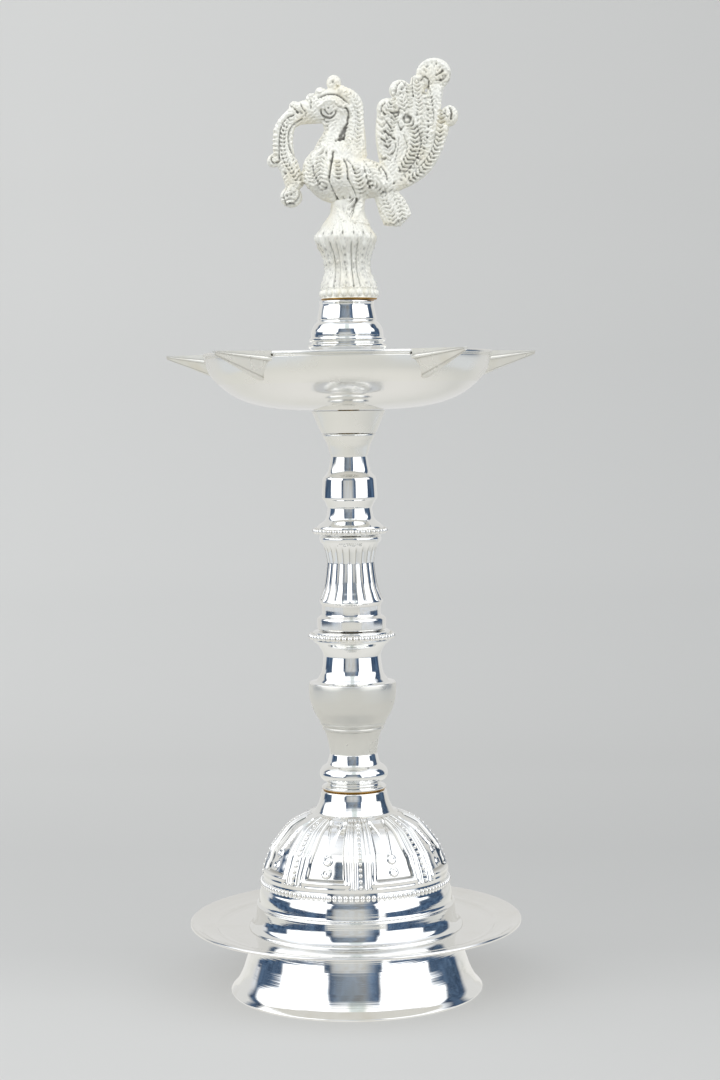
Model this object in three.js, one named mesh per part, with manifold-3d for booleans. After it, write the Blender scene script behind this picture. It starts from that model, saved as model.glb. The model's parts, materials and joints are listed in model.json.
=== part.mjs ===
// Standing oil lamp in silver plated brass. Millimetres, +Z up, front towards -Y.
// A flared foot, a drip plate and a panelled dome carry a turned stem in screwed sections.
// On the stem sit an open bowl with five wick spouts, a turned sleeve and a cast peacock.
import * as THREE from 'three';
import { mergeVertices } from 'three/addons/utils/BufferGeometryUtils.js';
import Module from 'manifold-3d';

const wasm = await Module();
wasm.setup();

// Driving dimensions, in millimetres. Only ribTurn is in degrees.
const gap = 0.3;
const overrun = 4;

const foot = { radius: 41.7, height: 20, wall: 1.8 };

const plate = {
  radius: 54.7,
  bedShare: 0.837,
  boreShare: 0.53,
  thickness: 1.2,
  brimRise: 2.4,
  lineHeight: 0.35,
  rimRound: 0.35,
};

const dome = {
  radius: 35.4,
  height: 44.8,
  wall: 1.4,
  flangeWidth: 3.2,
  plainHeight: 12,
  neckRadius: 10.7,
  roofRadius: 12,
  roofDrop: 9.3,
  recess: 0.75,
  groove: 0.5,
  ribTurn: 5.6,
};

const baseScrew = { radius: 4, reach: 12, drop: 10.5 };
const washer = { radius: 9.5, thickness: 1.3, dish: 0.8 };
const nut = { flats: 13, height: 6.5 };

const bulbStem = {
  radius: 14.35,
  height: 52.45,
  bottomRadius: 10.5,
  flangeRadius: 12.1,
  flangeHeight: 2.7,
  flangeEdge: 1.9,
  topRadius: 10.5,
};

const flutedStem = { radius: 11.3, height: 30.8, bottomRadius: 10.7, topRadius: 10, fluteDepth: 0.55 };

const ringStem = {
  radius: 8.95,
  height: 33.15,
  bottomRadius: 9.6,
  flangeRadius: 10.25,
  flangeHeight: 2.7,
  flangeEdge: 1.9,
  topRadius: 8.95,
};

const lowerBeads = { radius: 1, count: 44 };
const upperBeads = { radius: 0.95, count: 38 };

const stemScrew = { radius: 3.5, reach: 8 };

const socket = { radius: 12.1, height: 7.25 };

const bowl = {
  radius: 47.3,
  height: 18.7,
  wall: 1.3,
  lipWidth: 0.4,
  lipHeight: 1.1,
};

const spout = {
  length: 17.5,
  depth: 7.7,
  halfWidth: 7.2,
  creaseDepth: 2.6,
  creaseHalfWidth: 4.2,
  wall: 0.9,
  root: 7,
  tipHalfWidth: 0.8,
  tipDepth: 1.2,
  pinch: 2.5,
};

const sleeve = { radius: 12.7, height: 33.7, footRadius: 11.8, topRadius: 8.9 };
const bowlScrew = { radius: 3.5, reach: 9, rise: 20 };
const finialScrew = { radius: 2.5, reach: 8 };

const pedestal = { radius: 10, height: 30.7, bottomRadius: 9.1, beadRadius: 0.9 };
const bird = { height: 47 };

// Counts, and how finely round forms are cut.
const turnSides = 20;
const wideSides = 30;
const screwSides = 12;
const hexSides = 6;
const curveSteps = 2;
const panelCount = 8;
const fluteCount = 24;
const pedestalBeadCount = 20;
const spoutCount = 5;
const beadSides = 4;
const limbSides = 6;
const knobRows = 6;

const full = 2 * Math.PI;

// Outlines. Each run is a smooth curve through points given as
// [share of the radius, share of the height]. Straight lines join one run to the next.
const footShares = [
  [[0.985, 0], [1, 0.035]],
  [[0.953, 0.15], [0.909, 0.32], [0.88, 0.505], [0.83, 1]],
];

const domeShares = [
  [[1, 0], [1, 0.01]],
  [[0.942, 0.04]],
  [[0.927, 0.163], [0.907, 0.172]],
  [[0.9, 0.33]],
];

// The panelled part of the dome, where a row takes the share of the relief that its third value says.
const panelRowShares = [
  [0.87, 0.37, 0],
  [0.86, 0.405, 1],
  [0.82, 0.51, 1],
  [0.777, 0.601, 1],
  [0.71, 0.673, 1],
  [0.64, 0.735, 1],
  [0.57, 0.783, 0.8],
  [0.375, 0.833, 0],
  [0.328, 0.916, 0],
];

// Across one panel, from its middle to a rib: share of half a panel, and what stands there.
const panelStepShares = [[0, 'field'], [0.52, 'field'], [0.64, 'frame'], [0.84, 'groove'], [1, 'rib']];

const bulbStemShares = [
  [[0.73, 0.018]],
  [[0.62, 0.04], [0.775, 0.095], [0.72, 0.14]],
  [[0.61, 0.165], [0.545, 0.215], [0.59, 0.32], [0.69, 0.39]],
  [[0.74, 0.41], [0.885, 0.49], [1, 0.62], [0.99, 0.674]],
  [[0.8, 0.692]],
  [[0.72, 0.72], [0.66, 0.8], [0.72, 0.89]],
];

const flutedStemShares = [
  [[1, 0.135]],
  [[0.855, 0.16], [0.855, 0.27]],
];

// The fluted part: the third value is the share of the flute's depth that a row takes.
const fluteRowShares = [
  [0.91, 0.3, 0],
  [0.92, 0.313, 1],
  [0.815, 0.419, 1],
  [0.74, 0.53, 1],
  [0.685, 0.7, 1],
  [0.725, 0.845, 0.8],
  [0.8, 0.91, 0],
  [0.9, 0.965, 0],
];

const ringStemShares = [
  [[1.07, 0.12], [0.87, 0.175], [0.815, 0.235], [0.895, 0.325]],
  [[0.995, 0.358], [0.995, 0.561]],
  [[0.92, 0.588], [0.75, 0.645], [0.677, 0.745], [0.76, 0.87], [0.95, 0.975]],
];

const socketShares = [[[0.744, 0], [0.89, 0.53], [1, 1]]];

const bowlShares = [[[0.34, 0], [0.67, 0.125], [0.89, 0.425], [0.983, 0.829]]];

const sleeveShares = [
  [[0.93, 0.534]],
  [[1, 0.549], [1, 0.579]],
  [[0.915, 0.5875], [0.915, 0.602]],
  [[0.98, 0.611], [0.98, 0.638]],
  [[0.93, 0.65], [0.915, 0.725], [0.8, 0.785]],
  [[0.745, 0.803], [0.745, 0.82]],
  [[0.755, 0.831], [0.7, 0.95]],
];

const pedestalShares = [
  [[0.88, 0.125], [0.69, 0.32], [0.83, 0.525], [0.99, 0.64], [0.95, 0.71]],
  [[0.81, 0.76], [0.55, 0.915], [0.535, 1]],
];

const shoulderShare = 0.35;

// The peacock, drawn as limbs in photo pixels.
// A limb is a smooth run of [column, row, half width, half depth].
const birdAxisColumn = 345.3;
const birdSeatRow = 205;
const birdTopRow = 59.8;
const photoRollShare = 0.0149;

const birdLimbPixels = {
  neck: [[338, 95, 8, 8], [353, 105, 9, 8], [355, 125, 8, 8], [353, 146, 12, 12], [343, 170, 24, 20]],
  head: [[310, 104, 6, 6], [324, 105, 14, 11], [340, 104, 14, 11], [352, 112, 9, 8]],
  throat: [[331, 108, 15, 11], [334, 130, 9, 9], [332, 147, 17, 14], [334, 168, 28, 20]],
  beak: [[320, 110, 9, 8], [306, 110, 8, 6], [296, 112, 6, 6], [288, 118, 7, 7]],
  garland: [[292, 114, 7, 7], [284, 127, 8, 8], [281, 142, 9, 8], [283, 157, 9, 8], [288, 170, 9, 8],
    [294, 188, 8, 7]],
  body: [[304, 175, 8, 9], [320, 174, 22, 19], [343, 177, 28, 25], [364, 179, 19, 18], [382, 184, 13, 12],
    [396, 188, 8, 8]],
  stand: [[352, 182, 17, 17], [350, 200, 17, 16], [348, 214, 16, 15]],
  stub: [[380, 193, 8, 7], [389, 207, 12, 8], [398, 219, 13, 8]],
  outerFeather: [[394, 187, 8, 8], [413, 183, 8, 8], [430, 170, 8, 7], [439, 152, 7, 7], [442, 136, 6, 6],
    [447, 124, 6, 6]],
  tallFeather: [[393, 184, 8, 8], [411, 172, 9, 8], [425, 152, 9, 7], [431, 130, 9, 7], [432, 106, 9, 6],
    [433, 86, 9, 6]],
  innerFeather: [[392, 181, 8, 8], [403, 166, 9, 8], [412, 148, 9, 7], [417, 124, 9, 7], [417, 100, 9, 6],
    [419, 80, 8, 6]],
  shortFeather: [[390, 178, 8, 8], [395, 160, 8, 7], [400, 142, 9, 7], [402, 118, 9, 6], [402, 97, 9, 6]],
  frontFeather: [[389, 170, 7, 7], [388, 152, 9, 7], [385, 132, 9, 6], [387, 114, 9, 6]],
};

// Round ends, as [column, row, half width, half height, half depth].
const birdKnobPixels = {
  crest: [334, 85, 7.5, 8, 7],
  ball: [291, 197, 11.5, 10.5, 11],
  scroll: [273, 161, 6, 6, 6],
  topScroll: [434, 75, 17, 15, 8],
  outerScroll: [449, 116, 9, 10, 7],
  shortScroll: [400, 91, 10, 10, 7],
  frontScroll: [387, 110, 10, 10, 7],
};

const birdScale = bird.height / (birdSeatRow - birdTopRow);

// A closed mesh: each vertex once, and no triangle flattened at the axis or at a tip.
function closed(geometry) {
  const bare = geometry.index ? geometry.toNonIndexed() : geometry.clone();
  bare.deleteAttribute('normal');
  bare.deleteAttribute('uv');
  const merged = mergeVertices(bare);
  const kept = [];
  for (let i = 0; i < merged.index.count; i += 3) {
    const corners = [merged.index.getX(i), merged.index.getX(i + 1), merged.index.getX(i + 2)];
    if (new Set(corners).size === 3) kept.push(...corners);
  }
  merged.setIndex(kept);
  return merged;
}

function solidOf(geometry) {
  const { index, attributes } = closed(geometry);
  return new wasm.Manifold(
    new wasm.Mesh({
      numProp: 3,
      vertProperties: new Float32Array(attributes.position.array),
      triVerts: new Uint32Array(index.array),
    }),
  );
}

function geometryOf(solid) {
  const { vertProperties, triVerts } = solid.getMesh();
  const geometry = new THREE.BufferGeometry();
  geometry.setAttribute('position', new THREE.BufferAttribute(vertProperties, 3));
  geometry.setIndex(new THREE.BufferAttribute(triVerts, 1));
  geometry.computeVertexNormals();
  return geometry;
}

const at = (radius, height) => new THREE.Vector2(radius, height);

// An outline from its shares, scaled to a radius and a height.
function outline(radius, height, runs, steps = curveSteps) {
  return runs.flatMap((run) => {
    const points = run.map(([across, up]) => at(across * radius, up * height));
    if (points.length < 3) return points;
    return new THREE.SplineCurve(points).getPoints(steps * (points.length - 1));
  });
}

// The same outline one wall thickness further in.
function innerOutline(points, wall) {
  return points.map((point, i) => {
    const before = points[Math.max(i - 1, 0)];
    const after = points[Math.min(i + 1, points.length - 1)];
    const along = after.clone().sub(before).normalize();
    return at(point.x - wall * along.y, point.y + wall * along.x);
  });
}

// A body skinned over rings of points. The last ring joins the first, or both ends close to a point.
function skinned(rings, looped = true) {
  const columns = rings[0].length;
  const faces = [];
  for (let i = 0; i < rings.length - (looped ? 0 : 1); i += 1) {
    const next = (i + 1) % rings.length;
    for (let j = 0; j < columns; j += 1) {
      const side = (j + 1) % columns;
      const [a, b, c, d] = [i * columns + j, i * columns + side, next * columns + side, next * columns + j];
      faces.push(a, b, c, a, c, d);
    }
  }
  const corners = rings.flat().flatMap((point) => point.toArray());
  const geometry = new THREE.BufferGeometry();
  geometry.setAttribute('position', new THREE.Float32BufferAttribute(corners, 3));
  geometry.setIndex(faces);
  return closed(geometry);
}

// A body of revolution from a closed outline, with an angle for every column and a relief in the radius.
function turned(points, angles, relief = () => 0) {
  const rings = points.map((point, row) =>
    angles.map((angle, column) => {
      const radius = point.x + relief(row, column);
      return new THREE.Vector3(radius * Math.cos(angle), radius * Math.sin(angle), point.y);
    }),
  );
  return skinned(rings);
}

function evenAngles(count) {
  return Array.from({ length: count }, (_, i) => (full * i) / count);
}

function turnedSolid(points, sides = turnSides) {
  return turned(points, evenAngles(sides));
}

// A round hole down the axis, from one height to another.
function hole(radius, from, to) {
  return solidOf(turnedSolid([at(0, from), at(radius, from), at(radius, to), at(0, to)], screwSides));
}

// A turned piece with a blind screw hole in one or both ends, one gap wider and deeper than its screw.
function withScrewHoles(outside, height, lowScrew, highScrew, angles = evenAngles(turnSides), relief) {
  let solid = solidOf(turned([...outside, at(0, height), at(0, 0)], angles, relief));
  if (lowScrew) {
    solid = solid.subtract(hole(lowScrew.radius + gap, -overrun, lowScrew.reach + gap));
  }
  if (highScrew) {
    const floor = height - highScrew.reach - gap;
    solid = solid.subtract(hole(highScrew.radius + gap, floor, height + overrun));
  }
  return solid;
}

// A screw is a plain round rod with bevelled ends.
function screwRod(screw, length) {
  const { radius } = screw;
  const bevel = radius * shoulderShare;
  const low = [at(0, 0), at(radius - bevel, 0), at(radius, bevel)];
  const high = [at(radius, length - bevel), at(radius - bevel, length), at(0, length)];
  return turnedSolid([...low, ...high], screwSides);
}

// A string of beads round a flange: a ring whose section swells and narrows once a bead.
function beadRing(ringRadius, beads) {
  const stations = 2 * beads.count;
  const neckShare = 0.55;
  const rings = Array.from({ length: stations }, (_, station) => {
    const angle = (full * station) / stations;
    const size = beads.radius * (station % 2 ? neckShare : 1);
    return Array.from({ length: beadSides }, (_, side) => {
      const turn = (full * side) / beadSides;
      const radius = ringRadius + size * Math.cos(turn);
      return new THREE.Vector3(radius * Math.cos(angle), radius * Math.sin(angle), -size * Math.sin(turn));
    });
  });
  return skinned(rings);
}

// A limb of the bird: oval sections along a smooth line, closed by a point at each end.
function limb(rows) {
  const line = new THREE.CatmullRomCurve3(rows.map(([column, row]) => birdPoint(column, row)));
  const last = rows.length - 1;
  const ring = ([, , wide, deep], i) => {
    const along = line.getTangent(i / last);
    const across = new THREE.Vector3(along.z, 0, -along.x);
    return evenAngles(limbSides).map((turn) => {
      const side = across.clone().multiplyScalar(wide * Math.cos(turn));
      side.y = deep * Math.sin(turn);
      return line.getPoint(i / last).addScaledVector(side, birdScale);
    });
  };
  const cap = (i, way) => {
    const reach = way * rows[i][2] * birdScale * shoulderShare;
    const tip = line.getPoint(i / last).addScaledVector(line.getTangent(i / last), reach);
    return Array.from({ length: limbSides }, () => tip);
  };
  return skinned([cap(0, -1), ...rows.map(ring), cap(last, 1)], false);
}

// A point of the photo on the bird's middle plane, with the photo's roll turned out.
function birdPoint(column, row) {
  const across = column - birdAxisColumn;
  const up = birdSeatRow - row;
  const x = (across + photoRollShare * up) * birdScale;
  const z = (up - photoRollShare * across) * birdScale;
  return new THREE.Vector3(x, 0, z);
}

function knob([column, row, wide, high, deep]) {
  const ball = new THREE.SphereGeometry(birdScale, limbSides, knobRows);
  ball.rotateX(Math.PI / 2);
  ball.scale(wide, deep, high);
  const middle = birdPoint(column, row);
  ball.translate(middle.x, 0, middle.z);
  return ball;
}

// A folded channel: a wedge with a crease on each side, narrowing evenly to its tip.
// The inset makes a smaller wedge inside the first, for the hollow.
function spoutWedge(inset, startRadius, endRadius, topRise) {
  const section = (radius) => {
    const share = (bowl.radius + spout.length - radius) / spout.length;
    const halfWidth = THREE.MathUtils.lerp(spout.tipHalfWidth, spout.halfWidth, share) - inset;
    const depth = THREE.MathUtils.lerp(spout.tipDepth, spout.depth, share) - inset;
    const crease = halfWidth * (spout.creaseHalfWidth / spout.halfWidth);
    const creaseDepth = depth * (spout.creaseDepth / spout.depth);
    const right = [[crease, -creaseDepth], [halfWidth, 0], ...(topRise ? [[halfWidth, topRise]] : [])];
    const left = right.map(([across, up]) => [-across, up]).reverse();
    return [...left, [0, -depth], ...right].map(([across, up]) => new THREE.Vector3(radius, across, up));
  };
  const cap = (ring) => {
    const middle = ring.reduce((sum, point) => sum.add(point), new THREE.Vector3()).divideScalar(ring.length);
    return ring.map(() => middle);
  };
  const [start, end] = [section(startRadius), section(endRadius)];
  const wedge = skinned([cap(start), start, end, cap(end)], false);
  wedge.translate(0, 0, bowl.height);
  return wedge;
}

// The base.
function footSkirt() {
  const outside = outline(foot.radius, foot.height, footShares);
  const inside = outline(foot.radius, foot.height, footShares, 1)
    .map((point) => at(point.x - foot.wall, point.y))
    .reverse();
  return turnedSolid([...outside, ...inside], wideSides);
}

function dripPlate() {
  const brim = plate.thickness + plate.brimRise;
  const boreRadius = plate.radius * plate.boreShare;
  const bedRadius = plate.radius * plate.bedShare;
  const foldRadius = bedRadius + plate.thickness;
  const rimRadius = plate.radius - plate.rimRound;
  return turnedSolid(
    [
      at(boreRadius, 0),
      at(bedRadius, 0),
      at(rimRadius, plate.brimRise),
      at(plate.radius, brim - plate.thickness / 2),
      at(rimRadius, brim),
      at(foldRadius, plate.thickness + plate.lineHeight),
      at(bedRadius, plate.thickness),
      at(boreRadius, plate.thickness),
    ],
    wideSides,
  );
}

// The hollow inside the dome follows the panels, one wall and one recess further in.
function domeCore(panelled) {
  const skin = dome.wall + dome.recess;
  const roof = dome.height - dome.roofDrop;
  const followed = innerOutline(panelled.filter((_, row) => panelRowShares[row][2] > 0), skin);
  const lowInside = dome.radius - dome.flangeWidth - skin;
  return solidOf(
    turnedSolid([
      at(0, -overrun),
      at(lowInside, -overrun),
      at(lowInside, dome.plainHeight),
      ...followed,
      at(dome.roofRadius, roof),
      at(0, roof),
    ]),
  );
}

function domeShell() {
  const plain = outline(dome.radius, dome.height, domeShares);
  const panelled = panelRowShares.map(([across, up]) => at(across * dome.radius, up * dome.height));
  const points = [...plain, ...panelled, at(dome.neckRadius, dome.height), at(0, dome.height), at(0, 0)];
  const half = full / panelCount / 2;
  const leftSteps = panelStepShares
    .slice(1, -1)
    .map(([share, part]) => [-share, part])
    .reverse();
  const columns = Array.from({ length: panelCount }, (_, panel) =>
    [...leftSteps, ...panelStepShares].map(([share, part]) => ({ angle: half * (2 * panel + share), part })),
  ).flat();
  const depths = { field: dome.recess, frame: 0, groove: dome.groove, rib: 0 };
  const relief = (row, column) => {
    const panelRow = row - plain.length;
    if (panelRow < 0 || panelRow >= panelled.length) return 0;
    return -panelRowShares[panelRow][2] * depths[columns[column].part];
  };
  const angles = columns.map((column) => column.angle);
  const bore = hole(baseScrew.radius + gap, -overrun, dome.height + overrun);
  return geometryOf(solidOf(turned(points, angles, relief)).subtract(domeCore(panelled)).subtract(bore));
}

function cupWasher() {
  const bore = baseScrew.radius + gap;
  return turnedSolid(
    [
      at(bore, 0),
      at(washer.radius, washer.dish),
      at(washer.radius, washer.thickness + washer.dish),
      at(bore, washer.thickness),
    ],
    turnSides,
  );
}

function hexNut() {
  const corner = nut.flats / 2 / Math.cos(Math.PI / hexSides);
  const ring = (radius, count) =>
    evenAngles(count).map((angle) => at(radius * Math.cos(angle), radius * Math.sin(angle)));
  const shape = new THREE.Shape(ring(corner, hexSides));
  shape.holes.push(new THREE.Path(ring(baseScrew.radius + gap, screwSides)));
  return new THREE.ExtrudeGeometry(shape, { depth: nut.height, bevelEnabled: false });
}

// The stem.
function bulbStemBody() {
  const { height, flangeRadius, flangeHeight, flangeEdge } = bulbStem;
  const outside = [
    at(bulbStem.bottomRadius, 0),
    ...outline(bulbStem.radius, height, bulbStemShares),
    at(flangeRadius, height - flangeHeight),
    at(flangeRadius, height - flangeHeight + flangeEdge),
    at(bulbStem.topRadius, height),
  ];
  return geometryOf(withScrewHoles(outside, height, baseScrew, stemScrew));
}

function flutedStemBody() {
  const { radius, height } = flutedStem;
  const plain = [at(flutedStem.bottomRadius, 0), ...outline(radius, height, flutedStemShares)];
  const fluted = fluteRowShares.map(([across, up]) => at(across * radius, up * height));
  const outside = [...plain, ...fluted, at(flutedStem.topRadius, height)];
  const relief = (row, column) => {
    const fluteRow = row - plain.length;
    if (fluteRow < 0 || fluteRow >= fluted.length || column % 2) return 0;
    return -fluteRowShares[fluteRow][2] * flutedStem.fluteDepth;
  };
  const angles = evenAngles(2 * fluteCount);
  return geometryOf(withScrewHoles(outside, height, stemScrew, stemScrew, angles, relief));
}

function ringStemBody() {
  const { height, flangeRadius, flangeHeight, flangeEdge } = ringStem;
  const outside = [
    at(ringStem.bottomRadius, 0),
    at(flangeRadius, flangeHeight - flangeEdge),
    at(flangeRadius, flangeHeight),
    ...outline(ringStem.radius, height, ringStemShares),
    at(ringStem.topRadius, height),
  ];
  return geometryOf(withScrewHoles(outside, height, stemScrew, bowlScrew));
}

// The bowl.
function bowlSocket() {
  const outside = outline(socket.radius, socket.height, socketShares);
  const bore = bowlScrew.radius + gap;
  return turnedSolid([...outside, at(bore, socket.height), at(bore, 0)]);
}

function bowlOutside() {
  const { radius, height } = bowl;
  const wallRadius = radius - bowl.lipWidth;
  return [
    ...outline(radius, height, bowlShares),
    at(wallRadius, height - bowl.lipHeight - bowl.lipWidth),
    at(radius, height - bowl.lipHeight),
    at(radius, height),
  ];
}

// The spouts face the front in pairs, so one points straight back.
const spoutAngles = Array.from({ length: spoutCount }, (_, i) => full / 4 + (full * i) / spoutCount);

function spoutChannel() {
  const start = bowl.radius - spout.root;
  return solidOf(spoutWedge(spout.wall, start, bowl.radius + spout.length - spout.pinch, overrun));
}

function oilBowl() {
  const innerRadius = bowl.radius - bowl.lipWidth - bowl.wall;
  const inside = [
    ...innerOutline(outline(bowl.radius, bowl.height, bowlShares, 1), bowl.wall),
    at(innerRadius, bowl.height - bowl.lipHeight),
    at(innerRadius, bowl.height),
  ].reverse();
  const dish = turnedSolid([...bowlOutside(), ...inside, at(0, bowl.wall), at(0, 0)], wideSides);
  let solid = solidOf(dish).subtract(hole(bowlScrew.radius + gap, -overrun, overrun));
  for (const angle of spoutAngles) {
    solid = solid.subtract(spoutChannel().rotate([0, 0, THREE.MathUtils.radToDeg(angle)]));
  }
  return geometryOf(solid);
}

// A spout stops one gap short of the bowl, and its channel is open into the bowl.
function wickSpout() {
  const wedge = spoutWedge(0, bowl.radius - spout.root, bowl.radius + spout.length, 0);
  const grown = bowlOutside().map((point) => at(point.x + gap, point.y));
  const top = bowl.height + overrun;
  const block = turnedSolid([at(0, 0), ...grown, at(bowl.radius + gap, top), at(0, top)], wideSides);
  return geometryOf(solidOf(wedge).subtract(spoutChannel()).subtract(solidOf(block)));
}

function neckSleeve() {
  const outside = [
    at(sleeve.footRadius, 0),
    ...outline(sleeve.radius, sleeve.height, sleeveShares),
    at(sleeve.topRadius, sleeve.height),
  ];
  const lowScrew = { radius: bowlScrew.radius, reach: bowlScrew.rise };
  return geometryOf(withScrewHoles(outside, sleeve.height, lowScrew, finialScrew));
}

// The finial.
function pedestalBody() {
  const { radius, height, bottomRadius } = pedestal;
  const outside = [at(bottomRadius, 0), ...outline(radius, height, pedestalShares)];
  return withScrewHoles(outside, height, finialScrew);
}

function pedestalBeads() {
  const beads = { radius: pedestal.beadRadius, count: pedestalBeadCount };
  const ring = beadRing(pedestal.bottomRadius - pedestal.beadRadius * shoulderShare, beads);
  ring.translate(0, 0, 2 * pedestal.beadRadius);
  return solidOf(ring);
}

function peacockFinial() {
  let solid = pedestalBody().add(pedestalBeads());
  const limbs = Object.values(birdLimbPixels).map(limb);
  const knobs = Object.values(birdKnobPixels).map(knob);
  for (const part of [...limbs, ...knobs]) {
    part.translate(0, 0, pedestal.height);
    solid = solid.add(solidOf(part));
  }
  return geometryOf(solid);
}

// Finishes.
const finishes = {
  polishedSilver: { color: 0xd8dadb, roughness: 0.12, metalness: 1 },
  satinSilver: { color: 0xd3d2cc, roughness: 0.35, metalness: 1 },
  castSilver: { color: 0xe0ded6, roughness: 0.45, metalness: 1 },
  brass: { color: 0xb58f4c, roughness: 0.35, metalness: 1 },
};

// Levels of the pieces, each one gap above the piece below.
const level = {};
level.plate = foot.height + gap;
level.dome = level.plate + plate.thickness + gap;
level.bulbStem = level.dome + dome.height + gap;
level.flutedStem = level.bulbStem + bulbStem.height + gap;
level.ringStem = level.flutedStem + flutedStem.height + gap;
level.socket = level.ringStem + ringStem.height + gap;
level.bowl = level.socket + socket.height + gap;
level.sleeve = level.bowl + bowl.wall + gap;
level.finial = level.sleeve + sleeve.height + gap;
level.roof = level.dome + dome.height - dome.roofDrop;
level.washer = level.roof - gap - washer.thickness - washer.dish;
level.nut = level.washer - gap - nut.height;

const lamp = new THREE.Group();

function place(name, geometry, finish, height = 0, angle = 0) {
  const mesh = new THREE.Mesh(geometry, new THREE.MeshStandardMaterial(finishes[finish]));
  mesh.name = name;
  mesh.position.z = height;
  mesh.rotation.z = angle;
  lamp.add(mesh);
}

place('foot_skirt', footSkirt(), 'polishedSilver');
place('drip_plate', dripPlate(), 'satinSilver', level.plate);
const domeTurn = THREE.MathUtils.degToRad(dome.ribTurn) - full / 4 - full / panelCount / 2;
place('dome_shell', domeShell(), 'polishedSilver', level.dome, domeTurn);
const baseRodLength = dome.roofDrop + baseScrew.drop + gap + baseScrew.reach;
place('base_stud', screwRod(baseScrew, baseRodLength), 'brass', level.roof - baseScrew.drop);
place('base_cup_washer', cupWasher(), 'brass', level.washer);
place('base_hex_nut', hexNut(), 'brass', level.nut);

place('bulb_stem', bulbStemBody(), 'satinSilver', level.bulbStem);
const lowerRingRadius = bulbStem.flangeRadius + gap + lowerBeads.radius;
const lowerRingLevel = level.bulbStem + bulbStem.height - bulbStem.flangeHeight + bulbStem.flangeEdge / 2;
place('lower_bead_ring', beadRing(lowerRingRadius, lowerBeads), 'castSilver', lowerRingLevel);
const stemRodLength = 2 * stemScrew.reach + gap;
place('lower_stud', screwRod(stemScrew, stemRodLength), 'brass', level.flutedStem - gap - stemScrew.reach);

place('fluted_stem', flutedStemBody(), 'polishedSilver', level.flutedStem);
place('middle_stud', screwRod(stemScrew, stemRodLength), 'brass', level.ringStem - gap - stemScrew.reach);
place('ring_stem', ringStemBody(), 'polishedSilver', level.ringStem);
const upperRingRadius = ringStem.flangeRadius + gap + upperBeads.radius;
const upperRingLevel = level.ringStem + ringStem.flangeHeight - ringStem.flangeEdge / 2;
place('upper_bead_ring', beadRing(upperRingRadius, upperBeads), 'castSilver', upperRingLevel);

place('bowl_socket', bowlSocket(), 'satinSilver', level.socket);
place('oil_bowl', oilBowl(), 'satinSilver', level.bowl);
spoutAngles.forEach((angle, i) => {
  place(`wick_spout_${i + 1}`, wickSpout(), 'satinSilver', level.bowl, angle);
});
place('neck_sleeve', neckSleeve(), 'polishedSilver', level.sleeve);
const bowlRodBottom = level.socket - gap - bowlScrew.reach;
const bowlRodLength = level.sleeve + bowlScrew.rise - bowlRodBottom;
place('bowl_stud', screwRod(bowlScrew, bowlRodLength), 'brass', bowlRodBottom);
const finialRodLength = 2 * finialScrew.reach + gap;
place('finial_stud', screwRod(finialScrew, finialRodLength), 'brass', level.finial - gap - finialScrew.reach);

place('peacock_finial', peacockFinial(), 'castSilver', level.finial);

// The origin is on the floor, under the middle of the lamp's bounding box.
lamp.updateMatrixWorld(true);
const middle = new THREE.Box3().setFromObject(lamp, true).getCenter(new THREE.Vector3());
lamp.position.set(-middle.x, -middle.y, 0);

export default lamp;
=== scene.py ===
import json
import math

import bmesh
import bpy
import numpy as np
from mathutils import Matrix, Vector


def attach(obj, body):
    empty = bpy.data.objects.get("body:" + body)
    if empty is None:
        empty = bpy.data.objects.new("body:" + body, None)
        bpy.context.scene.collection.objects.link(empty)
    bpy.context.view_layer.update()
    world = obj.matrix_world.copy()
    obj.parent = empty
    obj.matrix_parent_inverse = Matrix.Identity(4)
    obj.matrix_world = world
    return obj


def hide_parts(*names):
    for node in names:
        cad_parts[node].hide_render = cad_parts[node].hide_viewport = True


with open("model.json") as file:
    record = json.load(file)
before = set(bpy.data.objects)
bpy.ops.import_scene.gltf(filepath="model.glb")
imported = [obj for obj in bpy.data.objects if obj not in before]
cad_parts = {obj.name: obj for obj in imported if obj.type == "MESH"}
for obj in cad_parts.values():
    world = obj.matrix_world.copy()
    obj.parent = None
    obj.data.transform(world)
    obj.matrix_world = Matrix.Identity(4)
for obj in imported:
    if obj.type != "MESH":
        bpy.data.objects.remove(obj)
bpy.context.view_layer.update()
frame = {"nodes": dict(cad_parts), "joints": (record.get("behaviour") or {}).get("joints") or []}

# The lamp stands on the floor, +Z up, with its front towards -Y. Lengths in the tables are millimetres.
MM = 0.001
FULL = 2 * math.pi
AXIS = Vector(frame["joints"][0]["pos_m"])
AXIS.z = 0
# The turn of the camera from the front, towards +X.
CAMERA_TURN = math.radians(2.6)


# Small tools for meshes.

def in_metres(points):
    """Points in millimetres round the lamp's axis, in the frame's metres."""
    return (np.asarray(points, float) * MM + np.array(AXIS)).tolist()


def linked(name, data):
    """A new object at the origin, with its place in its data."""
    thing = bpy.data.objects.new(name, data)
    bpy.context.scene.collection.objects.link(thing)
    return thing


def make_mesh(name, points, faces, material=None):
    """A mesh object from points in millimetres round the lamp's axis."""
    mesh = bpy.data.meshes.new(name)
    mesh.from_pydata(in_metres(points), [], faces)
    mesh.validate()
    piece = linked(name, mesh)
    finish_mesh(piece, material)
    return piece


def finish_mesh(piece, material=None, smooth_angle=None):
    """Face directions outwards, smooth shading and one material."""
    shape = bmesh.new()
    shape.from_mesh(piece.data)
    bmesh.ops.recalc_face_normals(shape, faces=shape.faces)
    shape.to_mesh(piece.data)
    shape.free()
    piece.data.shade_smooth()
    if smooth_angle is not None:
        piece.data.set_sharp_from_angle(angle=math.radians(smooth_angle))
    if material:
        piece.data.materials.clear()
        piece.data.materials.append(material)


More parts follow.
